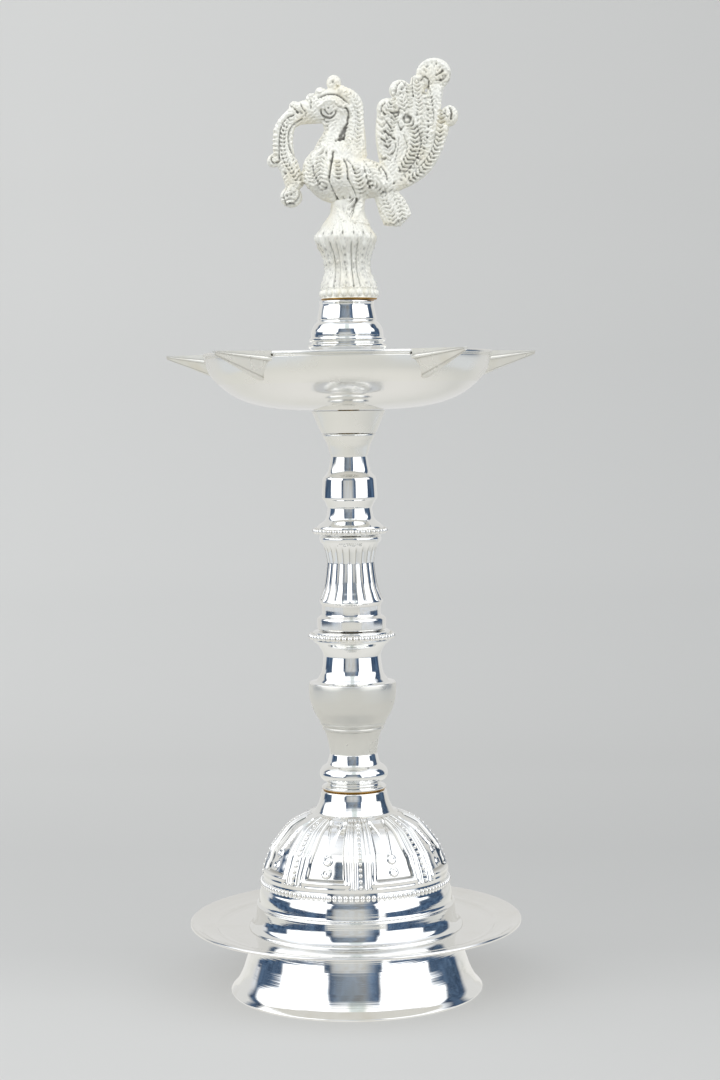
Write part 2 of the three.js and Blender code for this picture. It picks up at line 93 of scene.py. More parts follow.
def settle(piece):
    """Turns a piece and its modifiers into one plain mesh."""
    made = bpy.data.meshes.new_from_object(piece.evaluated_get(bpy.context.evaluated_depsgraph_get()))
    piece.modifiers.clear()
    piece.data = made


def ring_faces(rings, sides, looped=False):
    """Four-sided faces between rings of points that follow each other."""
    faces = []
    for i in range(rings if looped else rings - 1):
        low, high = i * sides, (i + 1) % rings * sides
        for j in range(sides):
            k = (j + 1) % sides
            faces.append([low + j, low + k, high + k, high + j])
    return faces


def smooth_run(points, step=0.5):
    """A Catmull-Rom curve through the points, in even steps."""
    points = np.asarray(points, float)
    if len(points) < 3:
        return points
    ends = [2 * points[0] - points[1], 2 * points[-1] - points[-2]]
    padded = np.vstack([ends[0], points, ends[1]])
    curve = []
    for i in range(1, len(padded) - 2):
        a, b, c, d = padded[i - 1:i + 3]
        count = max(2, int(np.linalg.norm(c - b) / step))
        for t in np.arange(count) / count:
            curve.append(0.5 * (2 * b + (c - a) * t + (2 * a - 5 * b + 4 * c - d) * t ** 2
                                + (3 * b - a - 3 * c + d) * t ** 3))
    curve.append(points[-1])
    return np.array(curve)


# Two sides whose directions multiply to less than this meet at an angle under 6 degrees, which isn't eased.
NEARLY_STRAIGHT = -0.995


def traced(runs, edge=0.25, step=0.5, looped=False, bend=(0, 0.25, 0.5, 0.75, 1)):
    """An outline of [height, radius] from smooth runs.

    Straight lines join the runs. Their corners are eased over the edge's length, with a point at each share
    in the bend."""
    points, corner = [], []
    for run in runs:
        curve = smooth_run(run, step)
        points.extend(curve.tolist())
        marks = [True] + [False] * (len(curve) - 2) + [True] if len(curve) > 1 else [True]
        if 1 < len(curve) == len(run):
            marks = [True] * len(curve)
        corner.extend(marks)
    points = np.array(points)
    eased = []
    count = len(points)
    for i, point in enumerate(points):
        last = not looped and i in (0, count - 1)
        if last or not corner[i]:
            eased.append(point)
            continue
        before, after = points[i - 1] - point, points[(i + 1) % count] - point
        far, near = np.linalg.norm(before), np.linalg.norm(after)
        if min(far, near) < 1e-6 or before @ after < NEARLY_STRAIGHT * far * near:
            eased.append(point)
            continue
        before, after = before / far, after / near
        reach = min(edge, 0.4 * far, 0.4 * near)
        start, end = point + before * reach, point + after * reach
        eased.append(point + before * min(1.25 * reach, 0.48 * far))
        for t in bend:
            eased.append((1 - t) ** 2 * start + 2 * t * (1 - t) * point + t ** 2 * end)
        eased.append(point + after * min(1.25 * reach, 0.48 * near))
    return np.array(eased)


def turn(name, outline, material, segments=128, relief=None, looped=False):
    """A turned body from an outline of [height, radius].

    A relief gives what each point adds to its radius and height, and how far its colour darkens as tarnish
    and painted shade."""
    heights, radii = outline[:, 0], outline[:, 1]
    angles = np.arange(segments) * FULL / segments
    radius = np.repeat(radii[:, None], segments, 1)
    height = np.repeat(heights[:, None], segments, 1)
    hollow = np.zeros_like(radius)
    if relief is not None:
        out, up, hollow = relief(height, radius, np.repeat(angles[None, :], len(radii), 0))
        radius, height = radius + out, height + up
    poles = [] if looped else [i for i in (0, len(radii) - 1) if radii[i] < 1e-6]
    rows = [i for i in range(len(radii)) if i not in poles]
    points = np.stack([radius * np.cos(angles), radius * np.sin(angles), height], -1)[rows].reshape(-1, 3)
    faces = ring_faces(len(rows), segments, looped)
    for pole in poles:
        ring = 0 if pole == 0 else (len(rows) - 1) * segments
        points = np.vstack([points, [0, 0, heights[pole]]])
        tip = len(points) - 1
        for j in range(segments):
            faces.append([ring + j, ring + (j + 1) % segments, tip])
    piece = make_mesh(name, points, faces, material)
    if relief is not None:
        mark_hollows(piece, np.append(hollow[rows].ravel(), np.zeros(len(poles))))
    return piece


def mark_hollows(piece, amounts):
    """Keeps on each point how far its colour darkens, 0 to 1: tarnish, and painted shade in grooves, creases
    and recesses.
    """
    attribute = piece.data.attributes.new("hollow", "FLOAT", "POINT")
    attribute.data.foreach_set("value", amounts.astype(np.float32))


def bored(runs, low=None, high=None, edge=0.25):
    """The outline of a turned piece, closed on the axis, with a blind bore [radius, depth] in either end."""
    outside = traced(runs, edge)
    bottom, top = outside[0][0], outside[-1][0]
    start, end = [[bottom, 0]], [[top, 0]]
    if low:
        start = [[bottom + low[1], 0], [bottom + low[1], low[0]], [bottom, low[0]]]
    if high:
        end = [[top, high[0]], [top - high[1], high[0]], [top - high[1], 0]]
    return np.vstack([start, outside, end])


# Small tools for materials.

def linear(code):
    """A colour written as sRGB hex, as linear light."""
    parts = [int(code[i:i + 2], 16) / 255 for i in (0, 2, 4)]
    return [c / 12.92 if c <= 0.04045 else ((c + 0.055) / 1.055) ** 2.4 for c in parts] + [1.0]


def add_node(tree, kind, settings=None, **sockets):
    """A node with its settings, and its sockets set to a value or joined to another node's output."""
    node = tree.nodes.new(kind)
    for key, value in (settings or {}).items():
        setattr(node, key, value)
    for key, value in sockets.items():
        index = int(key[1:]) if key[0] == "i" and key[1:].isdigit() else key.replace("_", " ")
        if isinstance(value, bpy.types.NodeSocket):
            tree.links.new(value, node.inputs[index])
        else:
            node.inputs[index].default_value = value
    return node


def math_node(tree, operation, *values):
    sockets = {f"i{i}": value for i, value in enumerate(values)}
    return add_node(tree, "ShaderNodeMath", {"operation": operation}, **sockets).outputs[0]


def blend(tree, share, first, second):
    """The first colour where the share is 0, and the second where it is 1."""
    return add_node(tree, "ShaderNodeMix", {"data_type": "RGBA"}, i0=share, i6=first, i7=second).outputs[2]


def new_material(name):
    material = bpy.data.materials.new(name)
    material.use_nodes = True
    tree = material.node_tree
    tree.nodes.clear()
    return material, tree


def ramp(tree, share, stops):
    """A colour ramp with stops of (place, colour)."""
    node = add_node(tree, "ShaderNodeValToRGB", {}, Fac=share)
    elements = node.color_ramp.elements
    while len(elements) < len(stops):
        elements.new(0.5)
    for element, (place, colour) in zip(elements, stops):
        element.position = place
        element.color = [*colour, 1]
    return node.outputs[0]


# The patterns in the silver, in repeats a metre. Turning lines lie 0.8 mm apart and run on for 70 mm. Real
# ones lie 0.1 mm apart, which is too fine to show. Stain lies in patches of 11 mm, and the grain is 0.45 mm
# wide, where a real one is 0.2 mm.
LINES_APART, LINES_ALONG, STAIN_PATCHES, GRAIN = 1300, 14, 90.0, 2200.0


def silver(name, colour, roughness, streaks, grain, stain="C9BFA4", stain_amount=0.25, tarnish_and_shade="7D7667",
           metal=1.0):
    """Silver plate. Turning lines run round the axis, thin stain lies in patches, and tarnish and painted
    shade in the hollows.

    The streaks and the grain are heights in millimetres."""
    material, tree = new_material(name)
    place = add_node(tree, "ShaderNodeTexCoord").outputs["Object"]
    centred = add_node(tree, "ShaderNodeMapping", {}, Vector=place, Location=(-AXIS.x, -AXIS.y, 0)).outputs[0]
    x, y, z = add_node(tree, "ShaderNodeSeparateXYZ", {}, Vector=centred).outputs
    flat = add_node(tree, "ShaderNodeCombineXYZ", {}, X=x, Y=y).outputs[0]
    radius = add_node(tree, "ShaderNodeVectorMath", {"operation": "LENGTH"}, i0=flat).outputs["Value"]
    stretched = add_node(tree, "ShaderNodeMapping", {}, Vector=centred,
                         Scale=(LINES_ALONG, LINES_ALONG, LINES_APART)).outputs[0]
    turned_way = math_node(tree, "MULTIPLY", radius, float(LINES_APART))
    lathe = add_node(tree, "ShaderNodeTexNoise", {"noise_dimensions": "4D"}, Vector=stretched, W=turned_way,
                     Scale=1.0, Detail=2.0, Roughness=0.6).outputs[0]
    patches = add_node(tree, "ShaderNodeTexNoise", {}, Vector=centred, Scale=STAIN_PATCHES,
                       Detail=3.0).outputs[0]
    fine = add_node(tree, "ShaderNodeTexNoise", {}, Vector=centred, Scale=GRAIN, Detail=2.0).outputs[0]
    share = add_node(tree, "ShaderNodeMapRange", {}, Value=patches, From_Min=0.5, From_Max=0.75, To_Min=0.0,
                     To_Max=stain_amount).outputs[0]
    stained = blend(tree, share, linear(colour), linear(stain))
    depth = add_node(tree, "ShaderNodeAttribute", {"attribute_name": "hollow"}).outputs["Fac"]
    # The hollow share darkens the colour towards tarnish, which also paints shade in grooves, creases and
    # recesses.
    base = blend(tree, depth, stained, linear(tarnish_and_shade))
    rough = add_node(tree, "ShaderNodeMapRange", {}, Value=patches, From_Min=0.3, From_Max=0.7,
                     To_Min=roughness * 0.85, To_Max=roughness * 1.2).outputs[0]
    bump = add_node(tree, "ShaderNodeBump", {}, Height=lathe, Strength=1.0, Distance=streaks * MM).outputs[0]
    bump = add_node(tree, "ShaderNodeBump", {}, Height=fine, Strength=1.0, Distance=grain * MM,
                    Normal=bump).outputs[0]
    shader = add_node(tree, "ShaderNodeBsdfPrincipled", {}, Base_Color=base, Metallic=metal, Roughness=rough,
                      Normal=bump)
    add_node(tree, "ShaderNodeOutputMaterial", {}, Surface=shader.outputs[0])
    return material


# Polished silver plate: buffed on a lathe, so it mirrors the room, and fine turning lines tear its edges.
POLISHED = silver("polished_silver_plate", "F1F1EF", 0.05, 0.003, 0.0)
# Spun silver plate: polished over coarser turning lines, so level edges in its mirror break into streaks.
# Its darker colour paints shade in the dome's grooves and along its panel frames.
SPUN = silver("spun_silver_plate", "F1F1EF", 0.06, 0.015, 0.0, tarnish_and_shade="8C8A82")
# Spun silver plate on the foot: its turning lines are deeper still, so they tear the level edges it mirrors.
SPUN_FOOT = silver("spun_foot_silver_plate", "F1F1EF", 0.07, 0.03, 0.0)
# Folded silver plate: bent by hand over a stake, so it keeps a fine satin grain, with painted shade in its
# creases.
FOLDED = silver("folded_silver_plate", "F8F6EE", 0.3, 0.0, 0.006, "EAE2CA", 0.5, "8C887A", 0.6)
# Burnished silver plate: rubbed while it turned, so it shows only a soft glow of the floor in fine rings.
BURNISHED = silver("burnished_silver_plate", "EFEEE9", 0.25, 0.0035, 0.0003, "E4E1D6", 0.15)
# Frosted silver plate: blasted before plating, so it is half matt and even, with faint turning rings.
FROSTED = silver("frosted_silver_plate", "E2E0D8", 0.3, 0.003, 0.0003, "D6D2C4", 0.15, metal=0.5)
# Satin silver plate: brushed while it turned, so it mirrors the paper softly, with concentric lines.
SATIN = silver("satin_silver_plate", "EDECE9", 0.1, 0.003, 0.0001, "D8D4C6", 0.15)
# Cast silver plate: frosted by the casting sand and mostly matt, so it is nearly white, with grey tarnish and
# painted shade in its hollows.
CAST = silver("cast_silver_plate", "FFFDF3", 0.5, 0.0, 0.014, "F8EFD6", 0.6, "5C5A54", 0.3)
# Bright beads: cast, then tumbled smooth, so each bead carries its own small lights and dark gaps.
BEADS = silver("bright_bead_silver", "F2F1EE", 0.12, 0.0, 0.0)
# Bare brass: left as it was cut, so it is dull yellow in the joints.
BRASS = silver("bare_brass", "B4893F", 0.35, 0.002, 0.0, "7A5A28", 0.5)


def keep(piece, body, node):
    """A finished piece rides on its body and stands for a CAD node, whose CAD part it hides."""
    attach(piece, body)
    if node:
        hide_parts(node)
    return piece


def second_finish(piece, material, low, high):
    """Gives the faces between two heights another finish."""
    if piece.data.materials[-1] != material:
        piece.data.materials.append(material)
    for face in piece.data.polygons:
        if low < face.center.z / MM < high:
            face.material_index = len(piece.data.materials) - 1


def beads_along(name, guide, count, size, material):
    """Beads set evenly along a guide line. Size is half widths: outwards, along the line, and upwards."""
    tree = bpy.data.node_groups.new(name + "_nodes", "GeometryNodeTree")
    tree.interface.new_socket("Guide", in_out="INPUT", socket_type="NodeSocketGeometry")
    tree.interface.new_socket("Count", in_out="INPUT", socket_type="NodeSocketInt")
    for label in ("Half Size", "Axis"):
        tree.interface.new_socket(label, in_out="INPUT", socket_type="NodeSocketVector")
    tree.interface.new_socket("Beads", in_out="OUTPUT", socket_type="NodeSocketGeometry")
    source = add_node(tree, "NodeGroupInput")
    line = add_node(tree, "GeometryNodeMeshToCurve", {}, Mesh=source.outputs["Guide"])
    spots = add_node(tree, "GeometryNodeCurveToPoints", {"mode": "COUNT"}, Curve=line.outputs[0],
                     Count=source.outputs["Count"])
    ball = add_node(tree, "GeometryNodeMeshUVSphere", {}, Segments=8, Rings=6, Radius=1.0)
    soft = add_node(tree, "GeometryNodeSetShadeSmooth", {}, i0=ball.outputs[0])
    shaped = add_node(tree, "GeometryNodeTransform", {}, Geometry=soft.outputs[0],
                      Scale=source.outputs["Half Size"])
    where = add_node(tree, "GeometryNodeInputPosition")
    off = add_node(tree, "ShaderNodeVectorMath", {"operation": "SUBTRACT"}, i0=where.outputs[0],
                   i1=source.outputs["Axis"])
    outward = add_node(tree, "ShaderNodeVectorMath", {"operation": "MULTIPLY"}, i0=off.outputs[0],
                       i1=(1, 1, 0))
    facing = add_node(tree, "FunctionNodeAlignRotationToVector", {"axis": "X", "pivot_axis": "Z"},
                      Vector=outward.outputs[0])
    strung = add_node(tree, "GeometryNodeInstanceOnPoints", {}, Points=spots.outputs[0],
                      Instance=shaped.outputs[0], Rotation=facing.outputs[0])
    real = add_node(tree, "GeometryNodeRealizeInstances", {}, i0=strung.outputs[0])
    dressed = add_node(tree, "GeometryNodeSetMaterial", {}, Geometry=real.outputs[0], Material=material)
    add_node(tree, "NodeGroupOutput", {}, i0=dressed.outputs[0])
    mesh = bpy.data.meshes.new(name)
    points, edges = [], []
    for path, closed in guide:
        first = len(points)
        points.extend(in_metres(path))
        edges.extend([first + i, first + i + 1] for i in range(len(path) - 1))
        if closed:
            edges.append([len(points) - 1, first])
    mesh.from_pydata(points, edges, [])
    piece = linked(name, mesh)
    modifier = piece.modifiers.new("beads", "NODES")
    modifier.node_group = tree
    keys = {item.name: item.identifier for item in tree.interface.items_tree if item.in_out == "INPUT"}
    modifier[keys["Count"]] = count
    modifier[keys["Half Size"]] = [s * MM for s in size]
    modifier[keys["Axis"]] = list(AXIS)
    settle(piece)
    piece.data.name = name
    return piece


def circle(radius, height, points=180):
    angles = np.arange(points) * FULL / points
    return np.stack([radius * np.cos(angles), radius * np.sin(angles), np.full(points, height)], 1), True


# The base: a spun foot, a drip plate and a pressed dome.

foot_outline = traced([
    [[0, 39.3], [0, 41.1]],
    [[0.7, 41.7], [1.6, 40.9], [3.0, 39.7], [6.4, 37.9], [10.1, 36.6], [12.6, 35.8], [15.5, 35.1],
     [20, 34.5]],
    [[20, 32.7], [15.5, 33.4], [10.1, 34.9], [6.4, 36.1], [3.0, 37.9], [1.2, 38.8]],
], looped=True)
foot = turn("foot_spun", foot_outline, SPUN_FOOT, 192, looped=True)
keep(foot, "base", "foot_skirt")

plate_outline = traced([
    [[20.3, 29], [20.3, 45.8]],
    [[20.6, 47.5], [21.5, 50.6], [22.7, 54.0]],
    [[22.9, 54.7], [23.5, 54.7]],
    [[23.9, 54.3], [23.75, 53.6]],
    [[22.9, 51.6], [22.3, 49.0]],
    [[22.1, 47.0], [22.25, 46.3], [21.75, 45.6]],
    [[21.5, 44.0], [21.5, 29]],
], 0.15, looped=True)
plate = turn("drip_plate_spun", plate_outline, SATIN, 192, looped=True)
keep(plate, "base", "drip_plate")

PANELS = 8
# The turn of the front rib from the front, towards +X.
RIB_TURN = math.radians(5.8)
# The panelled part of the dome as [height, radius].
dome_panel_run = [[39.4, 30.6], [42.7, 29.8], [45.4, 28.75], [48.3, 27.55], [51.15, 25.5], [54.0, 23.2],
                  [55.8, 21.5], [57.0, 19.7], [58.0, 17.7], [58.8, 15.9], [59.2, 14.6]]
dome_outside = traced([
    [[21.52, 35.45], [21.7, 35.45]],
    [[22.1, 35.2], [22.6, 34.35], [23.3, 33.75], [24.2, 33.4], [25.2, 33.14], [26.3, 32.93], [27.6, 32.78],
     [28.9, 32.64]],
    [[29.15, 32.8], [29.5, 32.75]],
    [[29.9, 32.1]],
    [[30.4, 32.0], [31.6, 31.87], [32.8, 31.7], [33.8, 31.5], [34.6, 31.25]],
    [[35.0, 31.05], [38.4, 30.5]],
    dome_panel_run,
    [[59.3, 13.9]],
    [[59.6, 13.2], [60.8, 12.5], [61.8, 12.0], [62.8, 11.55], [63.8, 11.2], [64.8, 11.0],
     [66.2, 10.75]],
    [[66.55, 10.5]],
], 0.2, 0.36, bend=(0, 0.5, 1))
# Every second row of points goes where the dome is plain or its lines run upwards.
odd_row = np.arange(len(dome_outside)) % 2 == 1
for plain_from, plain_to in ((50.5, 58.6), (23, 28.6)):
    plain = (dome_outside[:, 0] > plain_from) & (dome_outside[:, 0] < plain_to)
    dome_outside, odd_row = dome_outside[~(plain & odd_row)], odd_row[~(plain & odd_row)]
dome_inside = [[66.55, 4.3], [57.2, 4.3], [57.2, 12.9], [55.8, 17.9], [53.4, 21.0], [50.4, 23.6],
               [47.4, 25.6], [44.4, 27], [41, 28.2], [38, 29], [34, 29.8], [29, 30.6], [23.4, 31.2],
               [21.52, 31.2]]


def step_up(value, edge, width):
    """0 below the edge and 1 above it, with a smooth slope of that width."""
    share = np.clip((value - edge) / width + 0.5, 0, 1)
    return share * share * (3 - 2 * share)


def ridge(value, middle, half):
    """A round ridge, 1 in the middle and nearly 0 one and a half half-widths away."""
    return np.exp(-((value - middle) / half) ** 2)


def dome_relief(height, radius, angle):
    """Eight framed panels, each with a sunk field, a wedge and two ringed bosses."""
    pitch = FULL / PANELS
    turned = (angle + FULL / 4 - RIB_TURN + pitch / 2) % pitch - pitch / 2
    from_rib = radius * np.abs(turned)
    across = radius * (pitch / 2 - np.abs(turned))
    inside = (radius > 14.3) & (height > 38.6) & (height < 59.25)
    # Towards the neck the panels narrow, so the lines draw together.
    narrow = np.clip(radius / 26, 0.55, 1)
    line = from_rib / narrow
    bands = (0.22 * ridge(line, 1.35, 0.35) + 0.3 * ridge(line, 2.75, 0.42)
             + 0.22 * ridge(line, 4.3, 0.55))
    grooves = ridge(line, 1.95, 0.22) + 0.6 * ridge(line, 3.45, 0.22)
    above = step_up(height, 39.6, 0.4)
    sides = step_up(line, 5.25, 0.35)
    field = sides * step_up(height, 42.0, 0.4) * step_up(-height, -58.6, 0.5)
    lower_frame = 0.4 * ridge(height, 41.1, 0.6) * step_up(line, 3.4, 0.4)
    depth = above * (bands - 0.5 * grooves) - 0.9 * field + lower_frame
    wedge_half = np.clip((height - 48.6) / 9.5, 0, 1) * 1.9
    rising = step_up(height, 49.3, 0.4)
    depth += 0.5 * step_up(wedge_half - across, 0, 0.3) * rising * field
    depth += 0.3 * ridge(wedge_half - across, 0, 0.22) * rising * field
    for boss in (44.3, 48.1):
        far = np.hypot(across, (height - boss) * 1.1)
        depth += 0.55 * ridge(far, 1.15, 0.28) + 0.4 * ridge(far, 0, 0.45)
    depth = np.where(inside, depth, 0)
    # Painted shade darkens the grooves and the inner edges of the panel frames.
    edge = np.maximum(ridge(line, 5.35, 0.25) * step_up(height, 42.0, 0.3),
                      1.2 * ridge(height, 42.2, 0.25) * step_up(line, 5.2, 0.3))
    hollow = np.where(inside, np.clip(0.5 * grooves * above + 0.9 * edge, 0, 1), 0)
    lean = np.where(height > 50, np.clip((height - 48) / 12, 0, 0.8), 0.1)
    return depth * np.sqrt(1 - lean ** 2), depth * lean, hollow


dome = turn("dome_pressed", np.vstack([dome_outside, dome_inside]), SPUN, 560, dome_relief, looped=True)
keep(dome, "base", "dome_shell")

dome_band = beads_along("dome_bead_band", [circle(30.95, 36.7)], 108, (0.7, 0.82, 1.1), BEADS)
keep(dome_band, "base", None)
rib_line = smooth_run(dome_panel_run, 0.4)
rib_line = rib_line[(rib_line[:, 0] > 40) & (rib_line[:, 1] > 17.8)]
rib_paths = []
for panel in range(PANELS):
    turned = -FULL / 4 + RIB_TURN + panel * FULL / PANELS
    rib_paths.append((np.stack([rib_line[:, 1] * math.cos(turned), rib_line[:, 1] * math.sin(turned),
                                rib_line[:, 0]], 1), False))
rib_beads = beads_along("dome_rib_beads", rib_paths, 13, (0.5, 0.62, 0.72), BEADS)
keep(rib_beads, "base", None)


# The stem: three turned pieces with two rings of beads.

bulb = turn("bulb_stem_turned", bored([
    [[66.85, 10.3]],
    [[67.2, 10.55], [67.9, 10.55]],
    [[68.3, 9.3], [68.8, 8.85], [69.4, 8.9]],
    [[69.8, 9.7], [70.3, 10.5], [71.2, 11.1], [72.1, 11.25], [73.2, 11.0], [74.3, 10.2], [74.9, 9.3]],
    [[75.2, 8.85], [76.2, 8.4], [77.4, 8.1], [78.6, 7.85]],
    [[78.8, 7.72], [80.8, 7.98], [82.8, 8.35], [84.8, 8.85], [86.5, 9.5]],
    [[86.7, 9.9], [87.2, 10.15], [87.7, 9.95]],
    [[88.0, 10.2], [88.6, 10.75], [89.1, 10.75]],
    [[89.3, 10.9], [89.8, 11.1], [90.8, 11.7], [92.8, 12.85], [94.8, 13.55], [96.7, 14.1], [99.4, 14.35],
     [101.3, 14.35], [102.4, 14.1]],
    [[102.55, 12.5]],
    [[102.8, 11.9], [103.4, 11.5], [104.2, 10.9], [105.2, 10.35], [106.2, 10.0], [107.7, 9.76], [109.4, 9.56],
     [111.2, 9.38]],
    [[111.8, 9.55], [112.7, 9.9], [113.6, 10.4], [114.6, 11.0], [115.6, 12.2]],
    [[116.1, 12.7], [119.0, 12.7]],
    [[119.35, 12.2]],
], (4.3, 12.3), (3.8, 8.3)), FROSTED)
second_finish(bulb, POLISHED, 66, 78.75)
second_finish(bulb, POLISHED, 102.2, 120)
second_finish(bulb, BRASS, 66.5, 67.3)
keep(bulb, "lower_stem", "bulb_stem")
lower_beads = beads_along("lower_beads_strung", [circle(13.35, 117.65)], 44, (1.0, 0.96, 1.0), BEADS)
keep(lower_beads, "lower_stem", "lower_bead_ring")

FLUTES = 24


def flute_relief(height, radius, angle):
    """Shallow round flutes with arched upper ends."""
    across = np.abs((angle * FLUTES / FULL) % 1 * 2 - 1)
    arch = 147.6 - 1.1 * (1 - np.sqrt(np.clip(1 - across ** 2, 0, 1)))
    foot_end = 129.3 + 0.5 * (1 - np.sqrt(np.clip(1 - across ** 2, 0, 1)))
    there = step_up(arch, height, 0.5) * step_up(height, foot_end, 0.4)
    outside = (height > 128.6) & (height < 148.2) & (radius > 5)
    cut = np.where(outside, 0.3 * (1 - across ** 2.4) * there, 0)
    # Painted shade darkens the edges between the flutes.
    return -cut, 0 * height, np.where(outside, ridge(across, 1, 0.12) * 0.7 * there, 0)


fluted = turn("fluted_stem_turned", bored([
    [[119.65, 10.7]],
    [[119.9, 11.1], [120.4, 11.25], [122.0, 11.3], [123.2, 11.3]],
    [[123.8, 11.0]],
    [[124.4, 9.75]],
    [[125.0, 9.6], [126.5, 9.6], [127.8, 9.7]],
    [[128.3, 10.0]],
    [[128.9, 10.45], [129.6, 10.3], [130.5, 9.95], [131.5, 9.6], [132.5, 9.2], [133.5, 8.9], [134.5, 8.65],
     [135.4, 8.45], [136.4, 8.3], [138.4, 8.03], [140.2, 7.82], [141.7, 7.65]],
    [[142.2, 7.72], [143.7, 8.0], [144.7, 8.2], [145.7, 8.4], [146.6, 8.7], [147.6, 9.05], [148.1, 9.4]],
    [[148.6, 9.9], [149.6, 10.2]],
    [[150.45, 10.0]],
], (3.8, 8.3), (3.8, 8.3)), POLISHED, 384, flute_relief)
second_finish(fluted, SATIN, 119, 128.6)
keep(fluted, "upper_stem", "fluted_stem")

ring = turn("ring_stem_turned", bored([
    [[150.75, 9.8]],
    [[151.2, 11.0], [153.1, 11.0]],
    [[153.6, 10.8]],
    [[154.0, 10.4], [154.5, 9.8], [155.2, 8.8], [155.9, 8.1], [156.8, 7.72], [158.2, 7.45], [159.7, 7.22]],
    [[160.1, 7.5], [161.2, 8.0], [162.2, 8.5]],
    [[162.6, 8.9]],
    [[163.0, 9.1], [166, 8.95], [168.9, 8.77]],
    [[169.5, 8.65]],
    [[169.9, 8.4], [170.3, 8.0], [170.9, 7.4], [171.6, 7.0], [172.4, 6.73], [173.6, 6.45], [175.0, 6.2],
     [176.4, 5.98]],
    [[176.7, 6.1], [178.1, 6.5], [179.1, 6.75], [180.1, 7.05], [181.1, 7.5], [182, 7.9], [183, 8.45]],
    [[183.9, 8.9]],
], (3.8, 8.3), (3.8, 9.3)), POLISHED)
second_finish(ring, BURNISHED, 176.5, 184)
keep(ring, "upper_stem", "ring_stem")
upper_beads = beads_along("upper_beads_strung", [circle(11.5, 152.2)], 38, (0.95, 0.93, 0.97), BEADS)
keep(upper_beads, "upper_stem", "upper_bead_ring")


# The bowl: a socket, an open dish with five folded spouts, and a sleeve.

socket_outline = traced([
    [[184.2, 3.8], [184.2, 9.0]],
    [[184.35, 9.1], [186, 9.85], [188, 10.7], [190, 11.5], [191.3, 12.05]],
    [[191.4, 12.0], [191.4, 3.8]],
], 0.12, looped=True)
socket = turn("bowl_socket_turned", socket_outline, BURNISHED, looped=True)
keep(socket, "bowl", "bowl_socket")

bowl_outside = [[191.75, 16.4], [192.3, 22.9], [193.5, 29.4], [195.1, 34.3], [197.1, 38.2], [199.7, 41.5],
                [201.9, 43.75], [204.2, 45.4], [207.2, 46.5], [208.7, 46.8]]
bowl_inside = [[209.2, 45.55], [207.2, 45.2], [204.2, 44.05], [201.9, 42.45], [199.7, 40.3], [197.1, 37.1],
               [195.1, 33.6], [194.3, 29.0], [193.5, 22.7], [193.05, 16.4]]
bowl_outline = traced([
    [[191.75, 3.8], [191.75, 16.2]],
    bowl_outside,
    [[209.0, 46.5], [209.3, 46.5]],
    [[209.5, 47.3], [210.1, 47.3]],
    [[210.45, 47.0], [210.45, 45.7]],
    bowl_inside,
    [[193.05, 3.8]],
], 0.15, looped=True)
bowl = turn("oil_bowl_spun", bowl_outline, BURNISHED, 192, looped=True)

SPOUTS = 5
RIM_RADIUS, RIM_HEIGHT = 47.3, 210.45
# How far a spout reaches out from the rim, and how far in.
SPOUT_LENGTH, SPOUT_ROOT = 17.5, 7.0
# Half width and depth at the tip, and how much they grow to the rim.
SPOUT_TIP, SPOUT_GROWTH = (0.8, 1.2), (6.4, 6.5)
# A spout's folded section from its rim to its keel, as shares of the half width and of the depth.
SPOUT_FOLDS = [[1, 0], [0.9, -0.24], [0.93, -0.3], [0.9, -0.38], [0.76, -0.385], [0.18, -0.9],
               [0.2, -0.96], [0, -1]]
# The inward folds among them, which get painted shade.
CREASES = [SPOUT_FOLDS[i] for i in (1, 4, 5)]


def spout_size(radius):
    """Half width and depth of a spout at one distance from the axis."""
    share = (RIM_RADIUS + SPOUT_LENGTH - radius) / SPOUT_LENGTH
    return [tip + growth * share for tip, growth in zip(SPOUT_TIP, SPOUT_GROWTH)]


def spout_section(radius, inset, rise):
    """The folded section of a spout at one distance from the axis, eased at its creases."""
    half, depth = [size - inset for size in spout_size(radius)]
    folds = [[1, 0], [0.58, -0.34], [0, -1]] if inset else SPOUT_FOLDS
    right = [[half * a, depth * u] for a, u in folds]
    corners = [[-a, u] for a, u in right] + right[-2::-1]
    if rise:
        corners = [[-half, rise]] + corners + [[half, rise]]
    eased = []
    for i, corner in enumerate(corners):
        corner = np.array(corner, float)
        if i in (0, len(corners) - 1):
            eased.append(corner)
            continue
        before, after = np.array(corners[i - 1]) - corner, np.array(corners[i + 1]) - corner
        start = corner + before * min(0.3, 0.9 / np.linalg.norm(before))
        end = corner + after * min(0.3, 0.9 / np.linalg.norm(after))
        for t in (0, 0.33, 0.67, 1):
            eased.append((1 - t) ** 2 * start + 2 * t * (1 - t) * corner + t ** 2 * end)
    return np.array([[radius, a, RIM_HEIGHT + u] for a, u in eased])


def spout_wedge(name, inset, start, end, rise):
    """A closed wedge through its sections, from near the axis to the tip."""
    sections = [spout_section(radius, inset, rise) for radius in np.linspace(start, end, 24)]
    count = len(sections[0])
    faces = ring_faces(len(sections), count)
    faces.append(list(range(count)))
    faces.append([(len(sections) - 1) * count + j for j in range(count)])
    return make_mesh(name, np.vstack(sections), faces)


def cut(piece, tool):
    """Takes the tool's shape out of the piece."""
    modifier = piece.modifiers.new("cut", "BOOLEAN")
    modifier.operation = "DIFFERENCE"
    modifier.solver = "EXACT"
    modifier.object = tool
    settle(piece)


